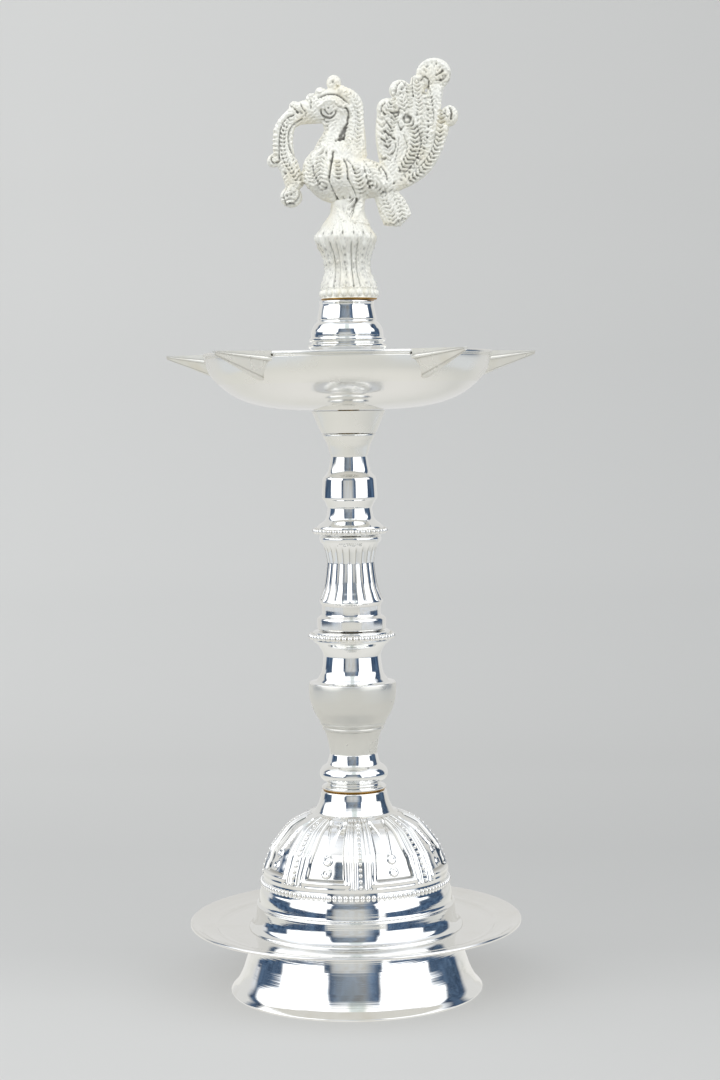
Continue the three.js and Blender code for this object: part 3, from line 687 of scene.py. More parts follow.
# The channel is cut into the blank and the bowl. It leaves a wall, a closed tip and an open top.
channel = spout_wedge("channel_tool", 0.9, RIM_RADIUS - SPOUT_ROOT, RIM_RADIUS + SPOUT_LENGTH - 2.5, 3)
spout_blank = spout_wedge("spout_blank", 0, RIM_RADIUS - SPOUT_ROOT, RIM_RADIUS + SPOUT_LENGTH, 0)
block_outline = np.vstack([[[191, 0], [191, 16]], smooth_run(bowl_outside) - [0, 0.05],
                           [[209.4, 47.25], [216, 47.25], [216, 0]]])
bowl_block = turn("bowl_block", block_outline, None, 192)
bpy.context.view_layer.update()
cut(spout_blank, channel)
cut(spout_blank, bowl_block)
# Painted shade along the inward creases, as the share of the darker colour.
crease_shade = []
for point in spout_blank.data.vertices:
    own = (point.co - AXIS) / MM
    half, depth = spout_size(own.x)
    far = min(math.hypot(abs(own.y) - half * a, own.z - RIM_HEIGHT - depth * u) for a, u in CREASES)
    crease_shade.append(0.5 * math.exp(-(far / 0.25) ** 2))
mark_hollows(spout_blank, np.array(crease_shade))


def turned_copy(source, name, angle):
    """A copy of a mesh object, turned about the lamp's axis."""
    mesh = source.data.copy()
    mesh.name = name
    mesh.transform(Matrix.Translation(AXIS) @ Matrix.Rotation(angle, 4, "Z") @ Matrix.Translation(-AXIS))
    return linked(name, mesh)


for i in range(SPOUTS):
    angle = FULL / 4 + FULL * i / SPOUTS
    notch = turned_copy(channel, "notch_tool", angle)
    bpy.context.view_layer.update()
    cut(bowl, notch)
    bpy.data.objects.remove(notch)
    spout = turned_copy(spout_blank, f"wick_spout_folded_{i + 1}", angle)
    finish_mesh(spout, FOLDED, 50)
    keep(spout, "bowl", f"wick_spout_{i + 1}")
finish_mesh(bowl, BURNISHED, 50)
second_finish(bowl, SATIN, 191, 200.5)
keep(bowl, "bowl", "oil_bowl")
for tool in (channel, spout_blank, bowl_block):
    bpy.data.objects.remove(tool)

sleeve = turn("neck_sleeve_turned", bored([
    [[193.35, 11.7]],
    [[193.7, 11.8], [202.0, 11.8], [211.2, 11.8]],
    [[211.9, 12.6], [212.2, 12.7], [212.8, 12.7]],
    [[213.15, 11.7], [213.6, 11.6]],
    [[213.95, 12.4], [214.3, 12.5], [214.75, 12.5]],
    [[215.2, 11.8]],
    [[215.6, 11.8], [216.3, 11.85], [217.6, 11.65], [218.2, 11.4], [218.8, 11.1], [219.5, 10.7],
     [220.1, 10.0]],
    [[220.4, 9.55], [220.8, 9.5]],
    [[221.1, 9.65], [221.6, 9.6], [222.7, 9.4], [224, 9.15], [225.3, 8.85]],
    [[225.8, 8.8], [226.6, 9.0]],
    [[227.05, 8.9]],
], (3.8, 20.3), (2.8, 8.3), 0.15), POLISHED)
keep(sleeve, "bowl", "neck_sleeve")


# The finial: a ribbed pedestal and a cast peacock.

LOBES = 8
STUDS_APART = 2.2


def pedestal_relief(height, radius, angle):
    """Smooth lobes with round studs, parted by fine seams of dots, under a crown of scallops.

    Faint ripples in all directions give the skin of the casting."""
    place = ((angle + FULL / 4) * LOBES / FULL + 0.42) % 1
    waist = step_up(height, 231.0, 0.8) * step_up(-height, -245.6, 1.6)
    lobe = np.sqrt(np.clip(1 - ((place - 0.38) / 0.33) ** 2, 0, 1))
    beat = np.cos((height - 231) * FULL / 1.4)
    depth = waist * (0.4 * lobe + ridge(place, 0.87, 0.07) * (0.15 + 0.4 * beat))
    cuts = ridge(place, 0.72, 0.03) + 0.7 * ridge(place, 0.03, 0.03)
    depth -= waist * 0.32 * cuts
    beside_stud = (place - 0.38) * radius * FULL / LOBES
    above_stud = (height - 232.6 + STUDS_APART / 2) % STUDS_APART - STUDS_APART / 2
    studs = np.hypot(beside_stud, above_stud)
    studded = waist * (height > 232) * (height < 245)
    depth += studded * (0.42 * ridge(studs, 0.62, 0.22) - 0.2 * ridge(studs, 0, 0.3))
    crown = ridge(height, 247.3, 1.6)
    scallop = np.abs(np.sin(angle * LOBES + 0.5))
    depth += crown * 0.8 * (scallop - 0.5)
    pits = ridge(height, 248.6, 0.5) * ridge(scallop, 0, 0.22)
    depth -= 0.7 * pits
    ripple = step_up(height, 230.9, 0.3) * step_up(-height, -258, 1.5)
    chance = np.random.default_rng(5)
    grain = np.zeros_like(depth)
    for turned_by in chance.uniform(0, math.pi, 12):
        wave = round(chance.uniform(40, 70) * math.cos(turned_by))
        climb = height * 7 * math.sin(turned_by)
        grain += 0.055 * ripple * np.cos(wave * angle + climb + chance.uniform(0, FULL))
    depth += grain
    outside = (radius > 4.5) & (height > 230.6)
    depth = np.where(outside, depth, 0)
    # Tarnish and painted shade darken the cuts, the middles of the studs, the pits and the low parts of the
    # ripples.
    dark = waist * (0.6 * cuts + 0.5 * ridge(studs, 0, 0.4) * (height < 245)) + pits
    dark += 0.25 * np.clip(-grain / 0.2 - 0.4, 0, 1)
    return depth, 0 * height, np.where(outside, np.clip(dark, 0, 0.8), 0)


def leaned(piece):
    """Leans a piece's foot a little to the right, as the finial sits on its screw."""
    for point in piece.data.vertices:
        point.co.x += 0.8 * MM * min(1, max(0, (246 - point.co.z / MM) / 15))


pedestal = turn("finial_pedestal_cast", bored([
    [[227.35, 8.9]],
    [[227.7, 9.15], [228.4, 8.9]],
    [[230.4, 8.8]],
    [[231.2, 8.7], [232.5, 8.3], [233.8, 7.8], [235.1, 7.3], [236.4, 6.85], [237.6, 6.7], [240.2, 7.0],
     [241.5, 7.3], [242.8, 7.85], [244.1, 8.5], [245.4, 9.2], [246.6, 9.7], [247.8, 9.75], [248.7, 9.35],
     [249.6, 8.7], [250.6, 8.1], [252.0, 7.2], [253.4, 6.1], [255.4, 4.9], [258, 4.6], [259.5, 4.6]],
], (2.8, 8.3), None), CAST, 288, pedestal_relief)
second_finish(pedestal, BRASS, 227, 227.8)
leaned(pedestal)
keep(pedestal, "finial", None)
pedestal_beads = beads_along("pedestal_beads_cast", [circle(8.75, 229.3)], 22, (1.1, 1.15, 1.3), CAST)
leaned(pedestal_beads)
keep(pedestal_beads, "finial", None)

# The peacock, drawn in columns and rows of the photograph.
PIXEL = 0.3237


def bird_point(column, row):
    across, up = column - 345.3, 205 - row
    return np.array([(across + 0.0149 * up) * PIXEL, 0, 258.05 + (up - 0.0149 * across) * PIXEL])


# Limbs as smooth lines of [column, row, half width, half depth].
BIRD_LIMBS = [
    # The neck, the head and the breast.
    [[338, 93, 8, 8], [353, 103, 9, 8], [356, 123, 8, 8], [354, 144, 13, 12], [343, 170, 24, 20]],
    [[310, 104, 6, 6], [324, 105, 14, 11], [338, 106, 15, 11], [352, 112, 9, 8]],
    [[342, 98, 13, 7], [343, 120, 15, 7], [346, 140, 18, 9], [348, 158, 20, 14]],
    [[331, 108, 15, 11], [334, 130, 10, 9], [333, 147, 18, 14], [334, 168, 30, 20]],
    [[322, 152, 11, 11], [322, 166, 20, 16], [327, 182, 21, 17]],
    # The beak and the garland.
    [[324, 111, 13, 9], [309, 112, 12.5, 7], [298, 115, 11, 6], [289, 121, 9, 7]],
    [[291, 106, 5, 5], [299, 109, 6, 6], [306, 113, 6, 6]],
    [[293, 117, 8, 7], [285, 128, 10, 8], [283, 142, 10, 8], [284.5, 157, 10.5, 8], [290, 170, 10, 8],
     [295, 188, 9, 7]],
    # The body, the stand and the tuft behind it.
    [[304, 175, 8, 9], [320, 176, 22, 19], [343, 178, 27, 24], [364, 179, 21, 18], [382, 182, 16, 12],
     [396, 187, 10, 8]],
    [[352, 182, 17, 17], [350, 200, 15.5, 15], [349.3, 210, 15.5, 15.5], [348.8, 218, 19, 19],
     [348.6, 224, 22, 22]],
    [[384, 192, 11, 7], [392, 206, 14.5, 7], [398, 220, 15, 6]],
    # The tail: a thin web under five feathers.
    [[390, 182, 8, 7], [401, 170, 13, 6.5], [410, 152, 23, 6], [413, 130, 28, 5.5], [415, 112, 28, 5],
     [417, 98, 20, 5]],
    [[394, 185, 8, 8], [411, 177, 8, 8], [424, 167, 8, 7], [433, 154, 7.5, 7], [438.5, 140, 7, 6.5],
     [443, 127, 7, 6.5]],
    [[393, 184, 8, 8], [409, 170, 8, 8], [421, 152, 8, 7.5], [429, 130, 8, 7.5], [433, 106, 8, 7],
     [436, 88, 8, 7]],
    [[392, 181, 8, 8], [403, 166, 8, 8], [412, 148, 8, 8], [417, 124, 8, 7.5], [416, 100, 8, 7],
     [419, 80, 8, 7]],
    [[390, 178, 8, 8], [395, 160, 8, 7.5], [400, 142, 9, 7.5], [402, 118, 9, 7], [402, 97, 9, 7]],
    [[389, 170, 7, 7], [388, 152, 10.5, 7], [386, 134, 10.5, 7], [387.5, 114, 10.5, 7]],
]
# Round ends as [column, row, half width, half height, half depth].
BIRD_KNOBS = [
    [334, 84, 7.5, 8, 7], [320, 93, 5, 5, 6], [311, 99, 5, 5, 6], [291, 197, 11.5, 10.5, 11],
    [273, 161, 6.5, 6.5, 6], [434, 75.5, 17.5, 16, 8], [449.5, 117, 9, 10.5, 7.5],
    [400, 91.5, 11, 10.5, 8], [387.5, 110, 11, 11, 8],
]

# What is chased into the bird, in columns and rows. Lines as [half width, height in mm, points].
BIRD_LINES = [
    # The head: a brow, lashes, rings round the eye and the line behind the cheek.
    [2.2, 0.35, [[317, 95], [325, 91.5], [334, 90.5], [343, 93], [351, 100], [355, 107]]],
    [1.0, -0.75, [[319, 99], [325, 96.5], [332, 95.5], [339, 97], [346, 102], [350, 106]]],
    [1.0, -0.7, [[321, 112], [322, 116], [326, 119], [331, 119.5], [335, 117], [337, 113]]],
    [0.9, -0.6, [[325, 112], [327, 115], [330, 116], [333, 114]]],
    [0.6, -0.25, [[322, 121], [329, 123.5], [337, 121.5]]],
    [0.8, -0.4, [[335, 105], [339, 109], [343, 110], [347, 110]]],
    [1.5, 0.35, [[320, 108], [325, 104], [331, 103], [337, 106]]],
    # The neck: a smooth front, a deep fold and a rim down the back.
    [1.1, -0.7, [[347, 110], [349, 114], [348.5, 121], [346, 130], [344, 140]]],
    [1.7, -0.7, [[345, 129], [342, 135], [341, 140]]],
    [0.9, -0.6, [[344, 140], [340, 141], [336, 142]]],
    [2.6, 0.25, [[337, 118], [333, 130], [328, 138]]],
    [2.6, 0.3, [[349, 104], [352, 116], [351, 130], [348, 144]]],
    [0.6, -0.25, [[346, 98], [353, 105], [356, 116], [355, 130], [352, 143]]],
    [1.7, 0.25, [[344, 88], [353, 93], [359, 101], [362, 112], [363, 125], [364, 141]]],
    # The beak and the top of the garland.
    [0.7, -0.45, [[301, 104], [303, 110], [306, 113], [306, 118]]],
    [0.8, -0.5, [[290, 107], [295, 110], [298, 114]]],
    [0.9, -0.45, [[311, 102], [311, 110]]],
    [1.8, -0.4, [[298, 113], [302, 114]]],
    # The garland: a smooth outer rim, two thin lines and a dark inner line.
    [2.6, 0.4, [[292, 111], [283, 119], [276, 130], [273, 143], [272, 155]]],
    [0.9, -0.6, [[294, 116], [287, 119], [282, 126], [280, 134], [279, 146], [279, 158]]],
    [0.6, -0.35, [[285, 124], [282, 135], [281, 148], [283, 160], [289, 171], [296, 181]]],
    [0.6, -0.3, [[288, 126], [285.5, 136], [285, 148], [287, 159], [293, 171], [299, 181]]],
    [0.9, -0.5, [[303, 120], [295, 125], [290, 132], [289, 141], [291, 150], [295, 156], [300, 162]]],
    [0.9, -0.55, [[271, 157], [271.5, 162], [275, 164], [279, 162], [279, 159]]],
    [0.8, -0.5, [[284, 199], [286, 206]]],
    [0.9, -0.5, [[289, 205], [294, 204], [299, 199], [301, 193]]],
    [0.7, -0.45, [[287, 188], [284, 193], [283, 199]]],
    [0.7, -0.4, [[297, 191], [292, 195], [289, 199]]],
    # The breast and the wing: long feathers between dark cuts.
    [1.0, -0.85, [[334, 154], [333, 162], [331.5, 170], [330, 180]]],
    [2.0, 0.4, [[329.5, 160], [327, 172], [326, 182]]],
    [1.8, 0.4, [[335, 162], [334.5, 172], [334, 184]]],
    [0.9, -0.65, [[345, 161], [348, 168], [349, 181]]],
    [1.8, 0.4, [[343.5, 164], [345.5, 172], [346, 184]]],
    [2.0, 0.4, [[351.5, 168], [353, 176], [354, 186]]],
    [0.8, -0.5, [[348, 161], [353, 167], [356, 175]]],
    [0.8, -0.5, [[313, 167], [315, 177], [320, 186], [327, 190]]],
    [0.8, -0.45, [[349, 181], [353, 188], [357, 197]]],
    [0.9, -0.5, [[330, 182], [333, 191], [338, 200]]],
    [0.8, -0.45, [[365, 168], [367, 177], [371, 190]]],
    [0.7, -0.35, [[364, 161], [370, 170], [374, 180]]],
    [0.9, -0.6, [[382, 167], [386, 173], [388, 181]]],
    [0.7, -0.35, [[370, 160], [378, 165], [381, 174]]],
    [2.2, 0.3, [[372, 166], [378, 176], [384, 186]]],
    # The stand: a deep V with small curls in it.
    [1.0, -0.9, [[338, 201], [343, 208], [347, 215], [350, 220]]],
    [1.2, -0.9, [[358, 200], [355, 207], [353, 214], [350, 220]]],
    [0.8, -0.6, [[344, 199], [347, 203], [350, 204], [354, 200]]],
    [0.7, -0.5, [[345, 206], [349, 211], [353, 207]]],
    [2.2, 0.5, [[334, 202], [339, 212], [345, 222]]],
    [2.0, 0.5, [[362, 203], [359, 213], [355, 222]]],
    # The tail: curls at the ends, and long lines between the feathers.
    [0.9, -0.5, [[381, 113], [382, 108], [385, 105]]],
    [0.8, -0.5, [[390, 103], [393, 107], [396, 110]]],
    [0.9, -0.55, [[390, 114], [395, 115], [398, 113], [400, 110]]],
    [0.8, -0.4, [[388, 118], [393, 120], [400, 114]]],
    [0.8, -0.45, [[385, 121], [389, 126], [393, 132]]],
    [0.9, -0.65, [[384, 132], [389, 135], [395, 140.5]]],
    [0.9, -0.5, [[396, 145], [395, 151], [391, 158]]],
    [0.7, -0.4, [[381, 140], [385, 143], [387, 147]]],
    [0.9, -0.5, [[396, 94], [397, 88], [400, 84]]],
    [0.8, -0.45, [[402, 82], [405, 86], [404, 90]]],
    [0.7, -0.45, [[412, 79], [412, 89], [413, 98]]],
    [0.7, -0.3, [[406, 82], [407, 92], [408, 100]]],
    [1.1, -0.5, [[403, 121], [407, 116], [411, 120], [412, 125]]],
    [0.8, -0.45, [[398, 124], [401, 131], [404, 128]]],
    [0.7, -0.4, [[404, 136], [407, 145], [406, 156], [402, 164]]],
    [0.7, -0.35, [[399, 140], [398, 152], [395, 164]]],
    [0.8, -0.5, [[418, 128], [421, 142], [418, 156], [411, 168], [402, 177]]],
    [0.8, -0.4, [[429, 91], [432, 104], [434, 117], [433, 131]]],
    [2.6, 0.35, [[438, 96], [440, 110], [437, 124], [434, 134]]],
    [0.8, -0.4, [[436, 134], [432, 150], [424, 163], [413, 174]]],
    [2.4, 0.4, [[446, 128], [445, 142], [441, 156]]],
    [1.0, -0.6, [[443, 151], [441, 155]]],
    [1.1, -0.8, [[450, 109], [452, 114], [451, 121]]],
    [0.7, -0.45, [[441, 112], [445, 116], [448, 119]]],
    [0.9, -0.6, [[421, 83], [425, 79], [429, 84], [427, 91]]],
    [0.9, -0.6, [[451, 76], [451, 81], [448, 84]]],
    [0.8, -0.5, [[436, 78], [441, 75], [443, 70]]],
    [0.8, -0.5, [[437, 83], [442, 83], [446, 80]]],
    [2.0, 0.35, [[415, 78], [421, 68], [431, 63], [441, 66], [448, 73]]],
    [1.5, 0.3, [[402, 196], [408, 208], [412, 220]]],
]
# Barbs as [half width, height in mm, spacing, slant, points]. A slant bends them back from the middle.
BIRD_BARBS = [
    [3.4, 0.3, 4.2, 0.7, [[346, 93], [355, 100], [359, 110], [360, 122], [359, 134], [357, 146]]],
    [3.2, 0.3, 4.0, 0.5, [[291, 120], [285, 130], [283, 145], [285, 158], [291, 170], [298, 182]]],
    [4.5, 0.3, 4.4, -0.6, [[297, 160], [301, 172], [303, 184]]],
    [2.0, 0.3, 4.4, 0.0, [[276, 132], [275.5, 145], [276, 157]]],
    [7.5, 0.34, 4.2, -0.6, [[324, 157], [321, 170], [323, 187]]],
    [3.2, 0.5, 4.0, 0.2, [[338, 163], [339.5, 172], [340, 183]]],
    [4.6, 0.38, 4.0, 0.4, [[357, 170], [360, 184], [364, 197]]],
    [5.0, 0.26, 4.8, -0.6, [[367, 176], [373, 190]]],
    [5.0, 0.24, 4.6, 0.8, [[369, 160], [376, 168], [381, 178]]],
    [4.6, 0.5, 4.5, 0.6, [[408, 122], [414, 130], [415, 146], [409, 160], [401, 172]]],
    [4.2, 0.45, 4.5, 0.6, [[442, 114], [440.5, 130], [438, 146], [431, 160], [422, 172], [409, 182]]],
    [5.0, 0.3, 7.0, 0.9, [[382, 118], [383, 132], [388, 148]]],
    [4.0, 0.3, 4.2, 0.8, [[402, 98], [405, 112]]],
    [3.6, 0.3, 3.8, 0.7, [[417, 84], [418, 98], [420, 114]]],
    [3.4, 0.25, 3.6, 0.5, [[409, 86], [410, 98], [410, 110]]],
    [3.6, 0.3, 4.0, 0.6, [[393, 96], [391, 106], [384, 116]]],
    [4.0, 0.3, 4.0, 0.7, [[396, 116], [392, 128], [388, 142], [390, 158]]],
    [4.0, 0.28, 3.8, -0.5, [[421, 124], [424, 140], [420, 156], [411, 168]]],
    [3.2, 0.25, 4.0, 0.4, [[430, 98], [431, 112], [430, 128]]],
    [4.2, 0.26, 4.0, 0.5, [[327, 122], [322, 136], [318, 148]]],
    [4.0, 0.25, 3.8, 0.6, [[311, 160], [310, 172], [314, 184]]],
    [4.0, 0.25, 3.8, -0.5, [[350, 122], [350, 136], [349, 150]]],
    [4.0, 0.25, 4.2, 0.5, [[372, 186], [384, 192]]],
    [5.0, 0.3, 4.6, -0.4, [[291, 188], [291, 206]]],
    [3.0, 0.25, 5.0, 0.0, [[420, 79], [430, 70], [440, 72], [446, 80]]],
    [4.5, 0.28, 4.2, 0.6, [[384, 196], [391, 212], [395, 228]]],
    [4.0, 0.28, 4.2, -0.6, [[393, 194], [400, 208], [405, 224]]],
]
# Rows of round dots as [half width, height in mm, spacing, points].
BIRD_DOTS = [
    [2.2, 0.45, 6.5, [[327, 88], [318, 93], [311, 99], [305, 104]]],
    [1.2, 0.5, 3.6, [[323, 102], [329, 101], [335, 103]]],
    [2.0, 0.4, 4.2, [[320, 145], [330, 151], [342, 153], [355, 155], [366, 158]]],
    [1.8, 0.35, 4.0, [[316, 150], [328, 156]]],
    [1.8, 0.35, 4.0, [[338, 147], [350, 149], [362, 150]]],
    [1.8, -0.5, 5.6, [[424, 92], [427, 110], [428, 128], [427, 142], [423, 156], [413, 170], [402, 181]]],
    [1.3, 0.4, 5.0, [[430, 96], [431, 120], [431, 140], [427, 157]]],
    [1.4, 0.35, 4.6, [[406, 134], [410, 150], [405, 162]]],
    [1.4, -0.45, 5.0, [[425, 68], [433, 65], [441, 69], [445, 76]]],
    [1.2, -0.5, 4.5, [[400, 195], [407, 208], [412, 220]]],
    [1.6, 0.35, 4.4, [[396, 108], [399, 100], [407, 97]]],
    [1.5, 0.3, 4.6, [[388, 196], [396, 212], [400, 226]]],
]
# Pits as [column, row, half width, depth in mm].
BIRD_PITS = [
    [329, 110, 1.2, 0.5], [333, 84, 1.4, 0.6], [338, 88, 1.2, 0.5], [272, 157, 1.3, 0.7],
    [285, 174, 1.5, 0.7], [327, 130, 1.2, 0.4], [332, 163, 1.6, 0.5], [402, 91, 1.5, 0.7],
    [413, 98, 1.2, 0.6], [401, 131, 1.5, 0.6], [382, 160, 1.4, 0.7], [385, 160, 1.4, 0.7],
    [417, 117, 1.3, 0.6], [418, 159, 1.3, 0.7], [395, 184, 1.5, 0.6], [386, 225, 1.3, 0.6],
    [392, 231, 1.2, 0.5], [399, 223, 1.3, 0.6], [358, 202, 1.6, 0.6], [351, 199, 1.4, 0.5],
    [441, 82, 1.4, 0.6], [443, 78, 1.2, 0.5], [426, 69, 1.2, 0.5], [436, 65, 1.2, 0.5],
    [287, 197, 1.4, 0.5], [345, 163, 1.3, 0.5], [357, 174, 1.2, 0.5], [286, 206, 1.3, 0.5],
]
# Painted shade, in grey, where the casting lies back: [column, row, half width, half height, share].
BIRD_PAINTED_SHADE = [
    [318, 192, 20, 8, 0.5], [325, 120, 12, 9, 0.3], [375, 194, 14, 7, 0.4], [387, 148, 8, 8, 0.3],
    [340, 190, 14, 7, 0.35], [309, 117, 9, 5, 0.35], [300, 196, 6, 7, 0.3],
]


def limb_mesh(rows, sides=16):
    """A closed round limb along a smooth line in the bird's middle plane."""
    line = smooth_run(rows, 3.0)
    centres = np.array([bird_point(c, r) for c, r in line[:, :2]])
    along = np.gradient(centres, axis=0)
    along /= np.linalg.norm(along, axis=1)[:, None]
    across = np.stack([along[:, 2], np.zeros(len(along)), -along[:, 0]], 1)
    outward = np.array([0, 1, 0])
    points = []
    for centre, side, (_, _, wide, deep) in zip(centres, across, line):
        for t in np.arange(sides) * FULL / sides:
            points.append(centre + side * wide * PIXEL * math.cos(t) + outward * deep * PIXEL * math.sin(t))
    faces = ring_faces(len(centres), sides)
    points.append(centres[0] - along[0] * line[0, 2] * PIXEL * 0.5)
    points.append(centres[-1] + along[-1] * line[-1, 2] * PIXEL * 0.5)
    end = (len(centres) - 1) * sides
    for j in range(sides):
        k = (j + 1) % sides
        faces += [[j, k, len(points) - 2], [end + j, end + k, len(points) - 1]]
    return points, faces


def knob_mesh(column, row, wide, high, deep, sides=20, rings=12):
    """A closed ball with three half sizes, in the bird's middle plane."""
    middle = bird_point(column, row)
    points = []
    for i in range(1, rings):
        tilt = math.pi * i / rings
        for t in np.arange(sides) * FULL / sides:
            ball = [math.sin(tilt) * math.cos(t), math.sin(tilt) * math.sin(t), math.cos(tilt)]
            points.append(middle + np.array([wide, deep, high]) * ball * PIXEL)
    faces = ring_faces(rings - 1, sides)
    points += [middle + [0, 0, high * PIXEL], middle - [0, 0, high * PIXEL]]
    end = (rings - 2) * sides
    for j in range(sides):
        k = (j + 1) % sides
        faces += [[j, k, len(points) - 2], [end + j, end + k, len(points) - 1]]
    return points, faces


def joined(name, parts, voxel):
    """One skin over overlapping closed parts."""
    points, faces = [], []
    for part_points, part_faces in parts:
        first = len(points)
        points.extend(part_points)
        faces.extend([first + i for i in face] for face in part_faces)
    piece = make_mesh(name, points, faces)
    modifier = piece.modifiers.new("skin", "REMESH")
    modifier.mode = "VOXEL"
    modifier.voxel_size = voxel * MM
    settle(piece)
    return piece


def along_path(spots, path):
    """How far along a path each spot lies, and how far beside it."""
    line = smooth_run(path, 1.5)
    span = np.diff(line, axis=0)
    length = np.linalg.norm(span, axis=1)
    offset = spots[:, None, :] - line[None, :-1]
    share = np.clip((offset * span).sum(-1) / length ** 2, 0, 1)
    beside = np.linalg.norm(offset - share[..., None] * span, axis=-1)
    nearest = beside.argmin(1)
    rows = np.arange(len(spots))
    gone = np.append(0, np.cumsum(length))[nearest] + share[rows, nearest] * length[nearest]
    return gone, beside[rows, nearest]


def chase(piece):
    """Chases the lines, barbs, dots and pits into both faces of the bird, and marks its hollows and its
    painted shade.
    """
    count = len(piece.data.vertices)
    places, normals = np.empty(count * 3), np.empty(count * 3)
    piece.data.vertices.foreach_get("co", places)
    piece.data.vertices.foreach_get("normal", normals)
    places, normals = places.reshape(-1, 3), normals.reshape(-1, 3)
    own = (places - np.array(AXIS)) / MM
    across, up = own[:, 0] / PIXEL, (own[:, 2] - 258.05) / PIXEL
    spots = np.stack([345.3 + across - 0.0149 * up, 205 - up - 0.0149 * across], 1)
    depth = np.zeros(count)

    def worked(path, reach):
        points = np.array(path, float)
        near = ((spots > points.min(0) - reach) & (spots < points.max(0) + reach)).all(1)
        return near, *along_path(spots[near], points)

    for half, height, path in BIRD_LINES:
        near, _, beside = worked(path, 2.2 * half)
        depth[near] += height * np.exp(-(beside / half) ** 2)
    for half, height, spacing, slant, path in BIRD_BARBS:
        near, gone, beside = worked(path, 1.5 * half)
        wave = np.cos((gone + slant * beside) * FULL / spacing)
        depth[near] += height * (wave - 0.2) * np.exp(-(beside / half) ** 4)
    for half, height, spacing, path in BIRD_DOTS:
        near, gone, beside = worked(path, 2.2 * half)
        beat = np.clip(np.cos((gone - spacing / 2) * FULL / spacing), 0, 1)
        depth[near] += height * beat * np.exp(-(beside / half) ** 2)
    for column, row, half, deep in BIRD_PITS:
        depth -= deep * np.exp(-((spots[:, 0] - column) ** 2 + (spots[:, 1] - row) ** 2) / half ** 2)
    shade = np.zeros(count)
    for column, row, wide, high, share in BIRD_PAINTED_SHADE:
        far = ((spots[:, 0] - column) / wide) ** 2 + ((spots[:, 1] - row) / high) ** 2
        shade = np.maximum(shade, share * np.exp(-far))
    # The fine grain of the chasing: many faint ripples in all directions, each with its own place.
    chance = np.random.default_rng(7)
    for turned_by in chance.uniform(0, math.pi, 14):
        wave = FULL / chance.uniform(2.6, 4.2)
        line = spots[:, 0] * math.cos(turned_by) + spots[:, 1] * math.sin(turned_by)
        depth += 0.032 * np.cos(wave * line + chance.uniform(0, FULL))
    facing = np.clip(np.abs(normals[:, 1]) * 1.8, 0, 1)
    depth *= 1.15 * facing
    moved = places + normals * (depth * MM)[:, None]
    piece.data.vertices.foreach_set("co", moved.ravel())
    piece.data.update()
    # Deep cuts darken as tarnish and painted shade, and the places where the casting lies back as painted
    # shade.
    mark_hollows(piece, np.clip(np.maximum((-depth - 0.12) / 0.55, 0.5 * shade), 0, 1) * 0.8)


def thinned(piece, most):
    """Merges faces where the shape is plain, until the piece has at most that many triangles."""
    triangles = sum(len(face.vertices) - 2 for face in piece.data.polygons)
    modifier = piece.modifiers.new("thin", "DECIMATE")
    modifier.ratio = min(1, most / triangles)
    settle(piece)


bird_parts = [limb_mesh(rows) for rows in BIRD_LIMBS] + [knob_mesh(*row) for row in BIRD_KNOBS]
bird = joined("peacock_cast", bird_parts, 0.27)
chase(bird)
thinned(bird, 190000)
finish_mesh(bird, CAST)
keep(bird, "finial", "peacock_finial")

# The hidden fasteners keep their CAD meshes.
for node in ("base_stud", "base_cup_washer", "base_hex_nut", "lower_stud", "middle_stud", "bowl_stud",
             "finial_stud"):
    frame["nodes"][node].data.materials.clear()
    frame["nodes"][node].data.materials.append(BRASS)


# The room: a light tent of pale paper, with white side walls edged in dark blue and its open front.

# Each table goes once round the lamp, from behind it by its left, its front and its right. It gives the
# degrees from the camera, above 0 to the right, the brightness there, and its colour.
BRIGHTEST = 1.9
UNDER_WALLS = [
    (-180, 0.65, "FFFFFF"), (-122, 0.65, "FFFFFF"), (-117, 0.1, "7E9CC8"), (-78, 0.1, "7E9CC8"),
    (-60, 0.55, "E8EEF4"), (-36, 0.75, "FFFFFF"), (-30, 0.6, "F4F2EC"), (30, 0.72, "F4F2EC"),
    (50, 0.85, "FFFFFF"), (75, 0.7, "F0F4F8"), (84, 0.1, "7E9CC8"), (126, 0.1, "7E9CC8"),
    (132, 0.6, "FFFFFF"), (180, 0.65, "FFFFFF"),
]
LOW_WALLS = [
    (-180, 0.7, "FFFFFF"), (-122, 0.7, "FFFFFF"), (-117, 0.12, "7E9CC8"), (-86, 0.12, "7E9CC8"),
    (-82, 1.8, "FFFFFF"), (-36, 1.85, "FFFFFF"), (-34, 0.12, "93A3BC"), (-29, 0.12, "93A3BC"),
    (-25, 0.5, "F0EDE4"), (-15, 0.66, "F0EDE4"), (8, 0.66, "F0EDE4"), (17, 0.4, "C3CEDC"),
    (22, 0.12, "7E93B4"), (26, 0.14, "7E93B4"), (28, 1.8, "FFFFFF"), (79, 1.8, "FFFFFF"),
    (82, 0.1, "7E9CC8"), (126, 0.1, "7E9CC8"), (132, 0.6, "FFFFFF"), (180, 0.68, "FFFFFF"),
]
HIGH_WALLS = [
    (-180, 0.2, "7E9CC8"), (-118, 0.1, "7E9CC8"), (-112, 1.7, "FFFFFF"), (-32, 1.85, "FFFFFF"),
    (-29, 0.12, "7393C4"), (-20, 0.34, "B9C0C4"), (8, 0.4, "CFCDC6"), (15, 0.26, "A9BEDC"),
    (23, 0.12, "6F8FC0"), (26, 1.8, "FFFFFF"), (98, 1.7, "FFFFFF"), (102, 0.1, "7E9CC8"),
    (180, 0.2, "7E9CC8"),
]
